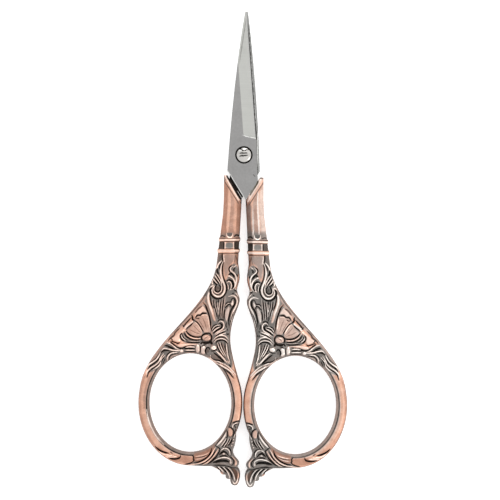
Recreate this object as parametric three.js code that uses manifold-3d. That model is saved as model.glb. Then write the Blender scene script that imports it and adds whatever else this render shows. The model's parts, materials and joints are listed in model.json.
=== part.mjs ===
// Embroidery scissors: two ground steel blades, each with its tang cast into a handle with a finger bow,
// turning on one slotted pivot screw that is peened over behind the back blade.
// Millimetres, +Z up. The scissors lie flat and closed with their points toward +Y.
import * as THREE from "three";
import { mergeVertices } from "three/addons/utils/BufferGeometryUtils.js";
import Module from "manifold-3d";

// Blades
const BLADE_REACH = 37.7; // pivot to point
const BLADE_THICKNESS = 1.5; // each blade, at the pivot
const BLADE_GAP = 0.1; // running gap between the two inner faces
const HEEL_WIDTH = 8.54; // blade across the pivot, twice the spine's offset there
const HEEL_DROP = 4.2; // pivot to the corner where the spine turns in toward the tang
const SPINE_BELLY = 3.12; // offset of the handle point that rounds the spine's curve
const POINT_WIDTH = 0.45; // spine to cutting edge where the spine rounds in to the point
const EDGE_OFFSET = 3.05; // cutting edge from the blade's axis, at its heel
const EDGE_HEEL = 4.35; // pivot to the heel of the cutting edge
const CHOIL_STEP = 0.25; // the unground heel stands out past the cutting edge by this much
const CHOIL_FLARE = 0.2; // and widens by this much more toward the tang
const GRIND_HEEL = 5.1; // pivot to the lower corner of the ground face
const GRIND_OFFSET = 0.2; // that corner from the blade's axis, on the spine's side
const GRIND_FILLET = 1.0; // corner of the ground face at its heel
const EDGE_LAND = 0.15; // thickness that the wide grind leaves at the cutting edge
const HONE_ANGLE = 38; // degrees, the narrow honed facet along the cutting edge
const HONE_LEFT = 0.05; // thickness left after honing
const HONE_START = 0.5; // unhoned stretch at the heel
const BLADE_LEAN = 0.8; // degrees, both blades lean this far toward the right handle

// Tangs
const TANG_LENGTH = 12.5; // hidden in the handle, below the mouth
const TANG_WIDTH = 2.2;
const TANG_CLEARANCE = 0.1; // all round, in the cast pocket
const SHOULDER_GAP = 0.1; // blade's shoulder to the handle's mouth

// Pivot screw
const PIVOT_RADIUS = 1.4; // screw shank
const PIVOT_CLEARANCE = 0.08; // the front blade turns on the shank with this radial gap
const THREAD_CLEARANCE = 0.04; // the back blade on the screw's thread
const HEAD_RADIUS = 2.0;
const HEAD_GAP = 0.3; // between the head and its counterbore
const HEAD_SEAT = 0.8; // depth of the counterbore
const HEAD_SEAT_GAP = 0.05; // under the head, so that the blade turns
const HEAD_CROWN = 0.45; // height of the head's domed top
const HEAD_SHOULDER = 0.8; // share of the head's radius at which the dome turns down
const SLOT_WIDTH = 0.7;
const SLOT_DEPTH = 0.55;
const PEEN_RADIUS = 1.9; // flared tail of the screw behind the back blade
const PEEN_HEIGHT = 0.4;

// Handles
const MOUTH_TOP = 5.6; // pivot down to the outer corner of the slanted mouth
const MOUTH_HEIGHT = 6.0; // from that corner down to the inner corner
const MOUTH_FLAT = 0.9; // short square end of the shank beside the slant
const MOUTH_CHAMFER = 1.05; // sloped rim along the mouth, seen on the face
const SHANK_WIDTH = 4.7; // across the flats below the mouth
const SHANK_WALL = 0.35; // metal over the tang
const SHANK_INSET = 0.5; // inner side of the shank from the scissors' axis, at the mouth
const SHANK_SPLAY = 3; // degrees, the shank leans outward on its way down
const SHANK_FLARE = 0.9; // how much wider the shank is at its lower end
const SHANK_END = 28.4; // pivot to the lower end of the shank
const SHANK_FACET = 0.5; // share of the shank's width and of its thickness that stays flat
const SHANK_RUNOUT = 0.8; // the shank thins to this share where it sinks into the plate
const COLLAR_STATIONS = [22.4, 25.3]; // pivot to the middle of each turned collar
const COLLAR_HEIGHT = 1.2;
const COLLAR_PROUD = 0.25;
const PANEL_THICKNESS = 3.8; // carved plate between the shank and the bow
const PANEL_ROUND = 0.85; // rounded edge of that plate
const PANEL_OVERLAP = 3; // how far the plate runs up inside the shank
const SCROLL_INSET = 0.95; // inner side of the plate at its two scrolls, from the scissors' axis
const NOTCH_INSET = 1.65; // between the scrolls
const HIP_INSET = 2.75; // under the lower scroll
const WAIST_INSET = 3.35; // hollow between the lower scroll and the bow
const OUTER_PULL = 0.32; // share of its span over which the plate's outer side keeps its end directions
const OUTER_SLANT = 0.1; // how far that direction leans outward
const BOW_CENTRE = 65.3; // pivot to the middle of the finger bow
const BOW_INNER_WIDTH = 21.5;
const BOW_INNER_HEIGHT = 25.9;
const BOW_BAND = 2.9; // width of the bow's band at its sides
const BOW_THICKNESS = 4.5;
const BOW_LAND = 1.0; // flat left on each face of the band
const BOW_CHAMFER = 0.75; // sloped inner edge of the band, seen on the face
const BOW_WALL = 1.9; // upright inner and outer wall of the band
const BOW_OUTER_JOIN = 12; // degrees up from the bow's outer side, where the plate's edge runs into it
const BOW_INNER_JOIN = 17; // degrees up from the bow's inner side, the same
const BOW_CLEARANCE = 0.1; // each bow from the scissors' axis when closed
const FOOT_DROP = 5.2; // leaf tip below the bow's outer bottom
const FOOT_RISE = 11; // how far the leaf climbs up the bow's inner side
const FOOT_WIDTH = 13; // how far the leaf runs along the bow's bottom
const FOOT_THICKNESS = 3.2;
const FOOT_ROUND = 0.4; // rounded edge of the leaf
const HANDLE_STAGGER = 0.26; // the right handle is cast on lower, and the left one higher, by this much

const PAST = 2; // how far a cutting tool reaches past what it cuts
const WELD = 1e-4; // points nearer than this are one
const BOW_SEGMENTS = 96;
const PANEL_SEGMENTS = 20;
const ROUND_SEGMENTS = 48;
const CURVE_SEGMENTS = 12;
const EDGE_SEGMENTS = 3;
const BAND_SEGMENTS = 4;
const DOME_SEGMENTS = 6;

const bladeTop = BLADE_GAP / 2 + BLADE_THICKNESS; // outer face of a blade, from the mid-plane
const mouthFoot = MOUTH_TOP + MOUTH_HEIGHT;
const shankHalf = bladeTop + TANG_CLEARANCE + SHANK_WALL; // half the shank's thickness
const flareStart = mouthFoot + HEEL_DROP; // the shank keeps its width down to here
const bowHalf = BOW_INNER_WIDTH / 2 + BOW_BAND; // half the bow's outer width
const bowStretch = BOW_INNER_HEIGHT / BOW_INNER_WIDTH; // the bow is a round ring drawn out lengthwise
const bowOffset = bowHalf + BOW_CLEARANCE; // scissors' axis to the middle of the bow
const bowTop = BOW_CENTRE - bowHalf * bowStretch;
const bowBottom = BOW_CENTRE + bowHalf * bowStretch;

const wasm = await Module();
wasm.setup();

// A closed three.js geometry as a solid that can be joined and cut.
function solidOf(geometry) {
  const bare = geometry.clone();
  bare.deleteAttribute("normal");
  bare.deleteAttribute("uv");
  const merged = mergeVertices(bare, WELD);
  const mesh = new wasm.Mesh({
    numProp: 3,
    vertProperties: merged.attributes.position.array,
    triVerts: new Uint32Array(merged.index.array),
  });
  return new wasm.Manifold(mesh);
}

// The solid as a three.js geometry again.
function geometryOf(solid) {
  const { vertProperties, triVerts } = solid.getMesh();
  const geometry = new THREE.BufferGeometry();
  geometry.setAttribute("position", new THREE.BufferAttribute(vertProperties, 3));
  geometry.setIndex(new THREE.BufferAttribute(triVerts, 1));
  geometry.computeVertexNormals();
  return geometry;
}

// A point of a handle: offset outward from the scissors' axis, and distance below the pivot.
function onHandle(offset, below) {
  return new THREE.Vector2(offset, -below);
}

// A straight-sided prism of the outline between two heights.
function prism(shape, low, high) {
  const body = new THREE.ExtrudeGeometry(shape, {
    depth: high - low,
    bevelEnabled: false,
    curveSegments: CURVE_SEGMENTS,
  });
  return body.translate(0, 0, low);
}

// A plate of the outline, centred on the mid-plane, with its edges rounded over.
function roundedPlate(shape, thickness, round) {
  const plate = new THREE.ExtrudeGeometry(shape, {
    depth: thickness - 2 * round,
    bevelThickness: round,
    bevelSize: round,
    bevelOffset: -round,
    bevelSegments: EDGE_SEGMENTS,
    curveSegments: CURVE_SEGMENTS / 2,
  });
  return plate.translate(0, 0, round - thickness / 2);
}

// A round bar along Z between two heights.
function pillar(radius, low, high) {
  const body = new THREE.CylinderGeometry(radius, radius, high - low, ROUND_SEGMENTS);
  return body.rotateX(Math.PI / 2).translate(0, 0, (low + high) / 2);
}

// A solid skin through rings of points, one ring for each station, closed by a fan at both ends.
function loft(rings) {
  const count = rings[0].length;
  const faces = [];
  for (let ring = 0; ring + 1 < rings.length; ring++) {
    for (let i = 0; i < count; i++) {
      const here = ring * count + i;
      const next = ring * count + ((i + 1) % count);
      faces.push(here, next, here + count, next, next + count, here + count);
    }
  }
  const last = (rings.length - 1) * count;
  for (let i = 1; i + 1 < count; i++) {
    faces.push(0, i + 1, i, last, last + i, last + i + 1);
  }
  const skin = new THREE.BufferGeometry().setFromPoints(rings.flat());
  skin.setIndex(faces);
  return skin;
}

// A frame with X along a line, Y across it toward a third point, and Z square to both.
function frameOn(origin, along, third) {
  const x = along.clone().sub(origin).normalize();
  const z = x.clone().cross(third.clone().sub(origin)).normalize();
  const y = z.clone().cross(x);
  return new THREE.Matrix4().makeBasis(x, y, z).setPosition(origin);
}

// Inner side of the shank, as an offset from the scissors' axis.
function shankInner(below) {
  const down = Math.max(0, below - mouthFoot);
  return SHANK_INSET + down * Math.tan(THREE.MathUtils.degToRad(SHANK_SPLAY));
}

// Width of the shank across its flats.
function shankWidth(below) {
  const share = Math.max(0, (below - flareStart) / (SHANK_END - flareStart));
  return SHANK_WIDTH + SHANK_FLARE * share;
}

// The two ends of the slanted mouth on the handle's face, and the direction across it toward the pivot.
function mouthLine() {
  const outer = onHandle(shankInner(MOUTH_TOP) + SHANK_WIDTH - MOUTH_FLAT, MOUTH_TOP);
  const inner = onHandle(shankInner(mouthFoot), mouthFoot);
  const along = outer.clone().sub(inner).normalize();
  return { outer, inner, along, toPivot: new THREE.Vector2(-along.y, along.x) };
}

// The tang's outline from the blade's heel downward; the blade's own outline is built on the same points.
// The shoulder lies along the mouth, and the tang runs down the middle of the shank, however the blade leans.
function tangPoints(half) {
  const { outer, inner, toPivot } = mouthLine();
  const middle = (below) => shankInner(below) + SHANK_WIDTH / 2;
  const low = mouthFoot + TANG_LENGTH;
  const entry = middle(mouthFoot) - TANG_WIDTH / 2;
  const share = (entry - inner.x) / (outer.x - inner.x);
  const shoulder = [inner.clone(), inner.clone().lerp(outer, share)];
  const seated = [
    ...shoulder.map((point) => point.addScaledVector(toPivot, SHOULDER_GAP)),
    onHandle(middle(low) - TANG_WIDTH / 2, low),
    onHandle(middle(low) + TANG_WIDTH / 2, low),
    onHandle(middle(mouthFoot) + TANG_WIDTH / 2, MOUTH_TOP + MOUTH_HEIGHT / 2),
  ];
  const upright = -THREE.MathUtils.degToRad(half.lean);
  return [
    new THREE.Vector2(-HEEL_WIDTH / 2, -HEEL_DROP),
    ...seated.map((point) => point.add(onHandle(0, half.drop)).rotateAround(onHandle(0, 0), upright)),
    new THREE.Vector2(EDGE_OFFSET + CHOIL_STEP + CHOIL_FLARE, -HEEL_DROP),
  ];
}

// Outline of a blade with its tang, seen on its outer face. The cutting edge is on the right.
function bladeShape(half) {
  const shape = new THREE.Shape(tangPoints(half));
  shape.lineTo(EDGE_OFFSET + CHOIL_STEP, EDGE_HEEL - 2 * CHOIL_STEP);
  shape.lineTo(EDGE_OFFSET, EDGE_HEEL);
  shape.lineTo(0, BLADE_REACH);
  shape.quadraticCurveTo(-POINT_WIDTH, BLADE_REACH, -POINT_WIDTH, BLADE_REACH - POINT_WIDTH);
  shape.quadraticCurveTo(-SPINE_BELLY, BLADE_REACH / 2, -HEEL_WIDTH / 2, -HEEL_DROP);
  return shape;
}

// What the wheel grinds off a blade's outer face: a flat sloping from the grind line to the cutting edge.
// The grind line lies parallel to the cutting edge and runs out at the spine.
function grindTool() {
  const heel = new THREE.Vector3(-GRIND_OFFSET, GRIND_HEEL, bladeTop);
  const edge = new THREE.Vector3(EDGE_OFFSET, EDGE_HEEL, BLADE_GAP / 2 + EDGE_LAND);
  const point = new THREE.Vector3(0, BLADE_REACH, BLADE_GAP / 2 + EDGE_LAND);
  const runout = heel.clone().add(point).sub(edge);
  const corner = edge.clone().sub(heel).angleTo(runout.clone().sub(heel));
  const start = GRIND_FILLET / Math.tan(corner / 2);
  const reach = 2 * BLADE_REACH;
  const shape = new THREE.Shape();
  shape.moveTo(start, 0);
  shape.lineTo(reach, 0);
  shape.lineTo(reach, reach);
  shape.lineTo(reach * Math.cos(corner), reach * Math.sin(corner));
  shape.lineTo(start * Math.cos(corner), start * Math.sin(corner));
  shape.quadraticCurveTo(0, 0, start, 0);
  return prism(shape, 0, PAST * BLADE_THICKNESS).applyMatrix4(frameOn(heel, edge, runout));
}

// What honing takes off along the cutting edge: a narrow, steeper facet.
function honeTool() {
  const heel = new THREE.Vector3(EDGE_OFFSET, EDGE_HEEL, BLADE_GAP / 2 + HONE_LEFT);
  const point = new THREE.Vector3(0, BLADE_REACH, BLADE_GAP / 2 + HONE_LEFT);
  const rise = Math.tan(THREE.MathUtils.degToRad(HONE_ANGLE));
  const inward = heel.clone().add(new THREE.Vector3(-1, 0, rise));
  const shape = new THREE.Shape();
  shape.moveTo(HONE_START, -HEEL_WIDTH);
  shape.lineTo(BLADE_REACH + PAST, -HEEL_WIDTH);
  shape.lineTo(BLADE_REACH + PAST, HEEL_WIDTH);
  shape.lineTo(HONE_START, HEEL_WIDTH);
  return prism(shape, 0, PAST * BLADE_THICKNESS).applyMatrix4(frameOn(heel, point, inward));
}

// A ground blade with its hole and, for the front one, the counterbore for the screw's head.
function makeBlade(holeRadius, boreRadius, half) {
  const turned = (geometry) => solidOf(geometry.rotateZ(THREE.MathUtils.degToRad(half.lean)));
  let blade = turned(prism(bladeShape(half), BLADE_GAP / 2, bladeTop));
  blade = blade.subtract(turned(grindTool())).subtract(turned(honeTool()));
  blade = blade.subtract(solidOf(pillar(holeRadius, -PAST, bladeTop + PAST)));
  if (boreRadius > 0) {
    blade = blade.subtract(solidOf(pillar(boreRadius, bladeTop - HEAD_SEAT, bladeTop + PAST)));
  }
  return geometryOf(blade);
}

// One eight-sided ring of the shank, grown by a margin all round.
function shankRing(below, margin, thin = 1) {
  const half = shankWidth(below) / 2;
  const middle = shankInner(below) + half;
  const wide = (half + margin) * thin;
  const high = (shankHalf + margin) * thin;
  const corners = [
    [wide, -SHANK_FACET * high],
    [wide, SHANK_FACET * high],
    [SHANK_FACET * wide, high],
    [-SHANK_FACET * wide, high],
    [-wide, SHANK_FACET * high],
    [-wide, -SHANK_FACET * high],
    [-SHANK_FACET * wide, -high],
    [SHANK_FACET * wide, -high],
  ];
  return corners.map(([across, up]) => new THREE.Vector3(middle + across, -below, up));
}

// The faceted shank from its square upper end down into the plate.
function makeShank() {
  const stations = [MOUTH_TOP, mouthFoot, flareStart, SHANK_END];
  const rings = stations.map((below) => shankRing(below, 0));
  const sunk = SHANK_END + shankWidth(SHANK_END);
  rings.push(shankRing(sunk, 0, SHANK_RUNOUT));
  return loft(rings);
}

// A turned bead round the shank.
function makeCollar(station) {
  const half = COLLAR_HEIGHT / 2;
  return loft([
    shankRing(station - half, -COLLAR_PROUD),
    shankRing(station - half, 0),
    shankRing(station - half / 2, COLLAR_PROUD),
    shankRing(station + half / 2, COLLAR_PROUD),
    shankRing(station + half, 0),
    shankRing(station + half, -COLLAR_PROUD),
  ]);
}

// A point on an ellipse round the bow's middle, by its angle up from the bow's outer side.
function onBow(degrees, half) {
  const turn = THREE.MathUtils.degToRad(degrees);
  return onHandle(bowOffset + half * Math.cos(turn), BOW_CENTRE - half * bowStretch * Math.sin(turn));
}

// Outline of the plate that carries the flower and scrolls, from the shank to both shoulders of the bow.
// Its inner side is given by stations, as shares of the way from the shank's end to the bow's top.
function panelShape() {
  const at = (share) => SHANK_END + share * (bowTop - SHANK_END);
  const inner = shankInner(SHANK_END);
  const outer = inner + shankWidth(SHANK_END);
  const outerStart = onHandle(outer, SHANK_END);
  const outerEnd = onBow(BOW_OUTER_JOIN, bowHalf);
  const pull = OUTER_PULL * outerStart.distanceTo(outerEnd);
  const outerSide = new THREE.CubicBezierCurve(
    outerStart,
    outerStart.clone().add(onHandle(OUTER_SLANT * pull, pull)),
    outerEnd.clone().add(onHandle(-OUTER_SLANT * pull, -pull)),
    outerEnd,
  );
  const innerSide = new THREE.SplineCurve([
    onBow(180 - BOW_INNER_JOIN, bowHalf),
    onHandle((WAIST_INSET + NOTCH_INSET) / 2, at(1.25)),
    onHandle(WAIST_INSET, at(1)),
    onHandle(HIP_INSET, at(0.76)),
    onHandle(SCROLL_INSET, at(0.5)),
    onHandle(NOTCH_INSET, at(0.36)),
    onHandle(SCROLL_INSET, at(0.2)),
    onHandle(inner, SHANK_END),
  ]);
  return new THREE.Shape([
    onHandle(outer - PANEL_ROUND, SHANK_END - PANEL_OVERLAP),
    ...outerSide.getPoints(PANEL_SEGMENTS),
    onBow(0, bowHalf - BOW_BAND / 2),
    onBow(180, bowHalf - BOW_BAND / 2),
    ...innerSide.getSpacedPoints(2 * PANEL_SEGMENTS),
    onHandle(inner + PANEL_ROUND, SHANK_END - PANEL_OVERLAP),
  ]);
}

// Outline of the leaf that ends the handle, below and inside the bow, with scalloped edges.
// Its points are given as shares: along the bow's bottom, and down to the tip or up the bow's inner side.
function footShape() {
  const leaf = (along, down) => {
    const drop = down > 0 ? down * FOOT_DROP : down * FOOT_RISE;
    return onHandle(BOW_CLEARANCE + along * FOOT_WIDTH, bowBottom + drop);
  };
  const shape = new THREE.Shape();
  const scallop = (bend, end) => shape.quadraticCurveTo(bend.x, bend.y, end.x, end.y);
  const start = leaf(0.18, -1);
  const sunk = leaf(1, -0.45);
  shape.moveTo(start.x, start.y);
  scallop(leaf(0.06, -0.74), leaf(0.19, -0.36));
  scallop(leaf(0.19, -0.25), leaf(0.09, -0.14));
  scallop(leaf(0.03, -0.06), leaf(0.1, 0.04));
  scallop(leaf(0.01, 0.3), leaf(0.05, 0.66));
  scallop(leaf(0.07, 1), leaf(0.14, 1));
  scallop(leaf(0.24, 1), leaf(0.24, 0.66));
  scallop(leaf(0.35, 0.72), leaf(0.33, 0.44));
  scallop(leaf(0.44, 0.5), leaf(0.45, 0.24));
  scallop(leaf(0.53, 0.12), leaf(0.62, 0.02));
  scallop(leaf(0.76, 0.03), leaf(1, 0));
  shape.lineTo(sunk.x, sunk.y);
  return shape;
}

// The bow's band: a rounded outer side, a flat on each face and a sloped inner edge.
function makeBow() {
  const inner = BOW_INNER_WIDTH / 2;
  const high = BOW_THICKNESS / 2;
  const landIn = inner + BOW_CHAMFER;
  const landOut = landIn + BOW_LAND;
  const side = BOW_WALL / 2;
  const profile = new THREE.Path();
  profile.moveTo(inner, side);
  profile.lineTo(inner, -side);
  profile.lineTo(landIn, -high);
  profile.lineTo(landOut, -high);
  profile.quadraticCurveTo(bowHalf, -high, bowHalf, -side);
  profile.lineTo(bowHalf, side);
  profile.quadraticCurveTo(bowHalf, high, landOut, high);
  profile.lineTo(landIn, high);
  profile.lineTo(inner, side);
  const ring = new THREE.LatheGeometry(profile.getPoints(BAND_SEGMENTS), BOW_SEGMENTS);
  return ring.rotateX(Math.PI / 2).scale(1, bowStretch, 1).translate(bowOffset, -BOW_CENTRE, 0);
}

// Everything on the pivot's side of the slanted mouth, and the sloped rims along its two faces.
function mouthTools() {
  const { outer, inner, along, toPivot } = mouthLine();
  const level = (flat) => new THREE.Vector3(flat.x, flat.y, 0);
  const frame = new THREE.Matrix4().makeBasis(level(toPivot), new THREE.Vector3(0, 0, 1), level(along));
  frame.setPosition(inner.x, inner.y, 0).multiply(new THREE.Matrix4().makeTranslation(0, 0, -PAST));
  const length = outer.distanceTo(inner) + 2 * PAST;
  const opening = new THREE.Shape();
  opening.moveTo(0, -2 * shankHalf);
  opening.lineTo(2 * mouthFoot, -2 * shankHalf);
  opening.lineTo(2 * mouthFoot, 2 * shankHalf);
  opening.lineTo(0, 2 * shankHalf);
  const tools = [prism(opening, 0, length)];
  for (const face of [1, -1]) {
    const rim = new THREE.Shape();
    rim.moveTo(PAST, face * bladeTop);
    rim.lineTo(0, face * bladeTop);
    rim.lineTo(-MOUTH_CHAMFER, face * shankHalf);
    rim.lineTo(-MOUTH_CHAMFER, face * (shankHalf + PAST));
    rim.lineTo(PAST, face * (shankHalf + PAST));
    tools.push(prism(rim, 0, length));
  }
  return tools.map((tool) => tool.applyMatrix4(frame));
}

// The pocket that the metal leaves round a tang: the tang grown by its clearance on every side.
function pocketTool(half) {
  const pocket = new THREE.ExtrudeGeometry(new THREE.Shape(tangPoints(half)), {
    depth: BLADE_THICKNESS,
    bevelThickness: TANG_CLEARANCE,
    bevelSize: TANG_CLEARANCE,
    bevelSegments: 1,
  });
  pocket.translate(0, 0, BLADE_GAP / 2).rotateZ(THREE.MathUtils.degToRad(half.lean));
  return solidOf(pocket);
}

// A handle on the right of the axis, cast round the tang of its half's blade.
function makeHandle(half) {
  const heartHalf = BOW_INNER_WIDTH / 2 + BOW_CHAMFER + BOW_LAND / 2;
  const rim = new THREE.EllipseCurve(bowOffset, -BOW_CENTRE, heartHalf, heartHalf * bowStretch);
  const heart = prism(new THREE.Shape(rim.getPoints(BOW_SEGMENTS)), -BOW_THICKNESS, BOW_THICKNESS);
  const seated = (geometry) => solidOf(geometry.translate(0, -half.drop, 0));
  const panel = seated(roundedPlate(panelShape(), PANEL_THICKNESS, PANEL_ROUND));
  const foot = seated(roundedPlate(footShape(), FOOT_THICKNESS, FOOT_ROUND));
  let handle = panel.add(foot).subtract(seated(heart)).add(seated(makeBow())).add(seated(makeShank()));
  for (const station of COLLAR_STATIONS) {
    handle = handle.add(seated(makeCollar(station)));
  }
  for (const tool of mouthTools()) {
    handle = handle.subtract(seated(tool));
  }
  return geometryOf(handle.subtract(pocketTool(half)));
}

// The slotted screw, from its peened tail behind the back blade to its domed head.
function makeScrew() {
  const seat = bladeTop - HEAD_SEAT + HEAD_SEAT_GAP;
  const crown = bladeTop + HEAD_CROWN / 2;
  const back = -bladeTop - HEAD_SEAT_GAP;
  const profile = new THREE.Path();
  profile.moveTo(0, back - PEEN_HEIGHT);
  profile.quadraticCurveTo(PEEN_RADIUS, back - PEEN_HEIGHT, PEEN_RADIUS, back);
  profile.lineTo(PIVOT_RADIUS, back);
  profile.lineTo(PIVOT_RADIUS, seat);
  profile.lineTo(HEAD_RADIUS, seat);
  profile.lineTo(HEAD_RADIUS, crown - HEAD_CROWN);
  profile.quadraticCurveTo(HEAD_SHOULDER * HEAD_RADIUS, crown, 0, crown);
  const body = new THREE.LatheGeometry(profile.getPoints(DOME_SEGMENTS), ROUND_SEGMENTS).rotateX(Math.PI / 2);
  const slot = new THREE.BoxGeometry(2 * HEAD_RADIUS + PAST, SLOT_WIDTH, 2 * SLOT_DEPTH);
  return geometryOf(solidOf(body).subtract(solidOf(slot.translate(0, 0, crown))));
}

// A named piece with its own material.
function piece(name, geometry, finish) {
  const mesh = new THREE.Mesh(geometry, new THREE.MeshStandardMaterial(finish));
  mesh.name = name;
  return mesh;
}

const STEEL = { color: 0xa9a9a6, roughness: 0.34, metalness: 1 };
const COPPER = { color: 0xb9826a, roughness: 0.36, metalness: 1 };
const SCREW_STEEL = { color: 0xd2d0c8, roughness: 0.22, metalness: 1 };

// Both halves are drawn as the right one; the left one is that half turned over about the scissors' axis.
// A half's blade leans by its lean about the pivot, and its handle is cast on lower by its drop.
const rightHalf = { lean: -BLADE_LEAN, drop: HANDLE_STAGGER };
const leftHalf = { lean: BLADE_LEAN, drop: -HANDLE_STAGGER };
const frontHole = PIVOT_RADIUS + PIVOT_CLEARANCE;
const backHole = PIVOT_RADIUS + THREAD_CLEARANCE;
const pieces = [
  piece("right_handle", makeHandle(rightHalf), COPPER),
  piece("front_blade", makeBlade(frontHole, HEAD_RADIUS + HEAD_GAP, rightHalf), STEEL),
  piece("left_handle", makeHandle(leftHalf).rotateY(Math.PI), COPPER),
  piece("back_blade", makeBlade(backHole, 0, leftHalf).rotateY(Math.PI), STEEL),
  piece("pivot_screw", makeScrew(), SCREW_STEEL),
];

const scissors = new THREE.Group();
scissors.name = "embroidery_scissors";
scissors.add(...pieces);

// The origin is the middle of the footprint, on the table.
const box = new THREE.Box3().setFromObject(scissors);
const middle = box.getCenter(new THREE.Vector3());
for (const mesh of pieces) {
  mesh.geometry.translate(-middle.x, -middle.y, -box.min.z);
}

export default scissors;
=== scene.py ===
"""Looks of the embroidery scissors: carved copper handles, ground steel blades and a slotted screw."""

import json
import logging
import math
from collections.abc import Mapping
from dataclasses import dataclass, replace
from enum import Enum

import bmesh
import bpy
import numpy as np
from mathutils import Matrix, Vector


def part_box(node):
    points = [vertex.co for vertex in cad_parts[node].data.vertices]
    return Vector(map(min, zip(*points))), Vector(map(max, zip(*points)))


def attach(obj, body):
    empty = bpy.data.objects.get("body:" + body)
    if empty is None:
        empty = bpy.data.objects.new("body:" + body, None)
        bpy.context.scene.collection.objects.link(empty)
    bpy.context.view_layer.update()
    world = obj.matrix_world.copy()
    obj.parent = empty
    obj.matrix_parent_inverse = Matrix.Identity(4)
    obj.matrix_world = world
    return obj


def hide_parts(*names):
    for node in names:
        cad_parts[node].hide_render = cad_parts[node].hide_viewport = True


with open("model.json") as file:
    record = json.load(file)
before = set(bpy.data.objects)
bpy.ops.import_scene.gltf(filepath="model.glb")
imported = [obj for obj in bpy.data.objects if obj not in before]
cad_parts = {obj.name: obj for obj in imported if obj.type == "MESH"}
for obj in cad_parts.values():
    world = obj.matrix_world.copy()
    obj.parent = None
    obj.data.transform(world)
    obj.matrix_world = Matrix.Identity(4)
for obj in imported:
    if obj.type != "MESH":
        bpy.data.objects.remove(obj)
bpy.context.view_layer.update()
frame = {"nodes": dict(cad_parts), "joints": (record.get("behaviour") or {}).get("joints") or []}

LOG = logging.getLogger("scissors")

Point = tuple[float, float]
Colour = tuple[float, float, float]
Socket = bpy.types.NodeSocket

MILLIMETRE = 0.001

# The photograph: where the pivot lies in it, its scale, and how far the camera was rolled.
PHOTO_SIDE = 500
PHOTO_PIVOT: Point = (243.9, 155.1)
PHOTO_SCALE = 0.2626  # millimetres in a pixel
PHOTO_ROLL = math.radians(0.25)
HANDLE_STAGGER = 0.26  # millimetres, the right handle is cast on lower and the left one higher

# How marks run out. Each pair is the two places between which a mark eases from one state to the other.
RUBBED = (0.1, 0.6)  # share of a strand's or bead's height, from patina to rubbed metal
GROOVE_SIDE = (0.25, 1.2)  # half widths from a groove's middle, from its bed to the face beside it
CREASE_SIDE = (0.2, 1.0)  # the same for the finger bow's crease
TAPER_TIP = 0.3  # share of the width that is left at a tapered end
TAPER_RUN = 0.3  # share of the length over which a tapered end widens to the full width
UPRIGHT = (0.2, 0.75)  # upright share of a normal, from a wall to a carved face

WELD = 1e-6  # metres, corners closer than this are one
LEAST_SPAN = 1e-9  # square pixels, stands in for a span without length
FLAT_ANGLE = math.radians(0.5)  # faces that differ by less are one flat face


class Taper(Enum):
    """Where a carved mark runs out to a point."""

    NONE = "none"
    START = "start"
    END = "end"
    BOTH = "both"


class Side(Enum):
    """Which handle: the marks are drawn for the left one, and the right one is its mirror."""

    LEFT = -1
    RIGHT = 1


@dataclass
class Sheet:
    """A handle's points as seen on the left handle's face, with the carving worked out so far.

    Args:
        x: Pixels across the photograph.
        y: Pixels down the photograph.
        height: Millimetres that the carving stands above the cast blank.
        tone: Patina from 0, black, to 1, rubbed bright; some marks lay painted shade or a painted highlight
            in it.
        flush: Hue from 0, grey, to 1, copper red.
    """

    x: np.ndarray
    y: np.ndarray
    height: np.ndarray
    tone: np.ndarray
    flush: np.ndarray

    def near(self, line: np.ndarray, reach: float) -> np.ndarray:
        """Find the points around a line.

        Args:
            line: Points of the line.
            reach: Pixels beyond its box.

        Returns:
            Indices of the sheet's points inside that box.
        """
        low = line.min(axis=0) - reach
        high = line.max(axis=0) + reach
        across = (self.x > low[0]) & (self.x < high[0])
        return np.nonzero(across & (self.y > low[1]) & (self.y < high[1]))[0]

    def tone_mark(self, picked: np.ndarray, share: np.ndarray, tone: float, flush: float) -> None:
        """Lay a tone over some points: patina, or the painted shade or highlight of a mark that stands for
        light.

        Args:
            picked: Indices of the points.
            share: How much of the new tone each takes.
            tone: Its tone.
            flush: Its hue.
        """
        self.tone[picked] += (tone - self.tone[picked]) * share
        self.flush[picked] += (flush - self.flush[picked]) * share


def smooth_step(low: float, high: float, value: np.ndarray) -> np.ndarray:
    """Ease from 0 at low to 1 at high.

    Args:
        low: Value where the step starts.
        high: Value where it ends.
        value: Values to ease.

    Returns:
        Eased values from 0 to 1.
    """
    share = np.clip((value - low) / (high - low), 0.0, 1.0)
    return share * share * (3.0 - 2.0 * share)


def smooth_line(points: tuple[Point, ...], closed: bool = False, steps: int = 6) -> np.ndarray:
    """Draw a smooth curve through a few points.

    Each stretch is a cubic whose slope at a point follows that point's two neighbours.

    Args:
        points: The points to pass through.
        closed: Whether the curve returns to its start.
        steps: Pieces between two points.

    Returns:
        Points along the curve.
    """
    given = np.array(points, dtype=float)
    if closed:
        padded = np.vstack([given[-1], given, given[0], given[1]])
    else:
        padded = np.vstack([2 * given[0] - given[1], given, 2 * given[-1] - given[-2]])
    share = np.linspace(0.0, 1.0, steps, endpoint=False)[:, None]
    pieces = []
    for i in range(len(padded) - 3):
        before, start, end, after = padded[i : i + 4]
        bend = 2 * before - 5 * start + 4 * end - after
        twist = -before + 3 * start - 3 * end + after
        pieces.append(start + 0.5 * ((end - before) * share + bend * share**2 + twist * share**3))
    if not closed:
        pieces.append(given[-1:])
    return np.vstack(pieces)


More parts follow.
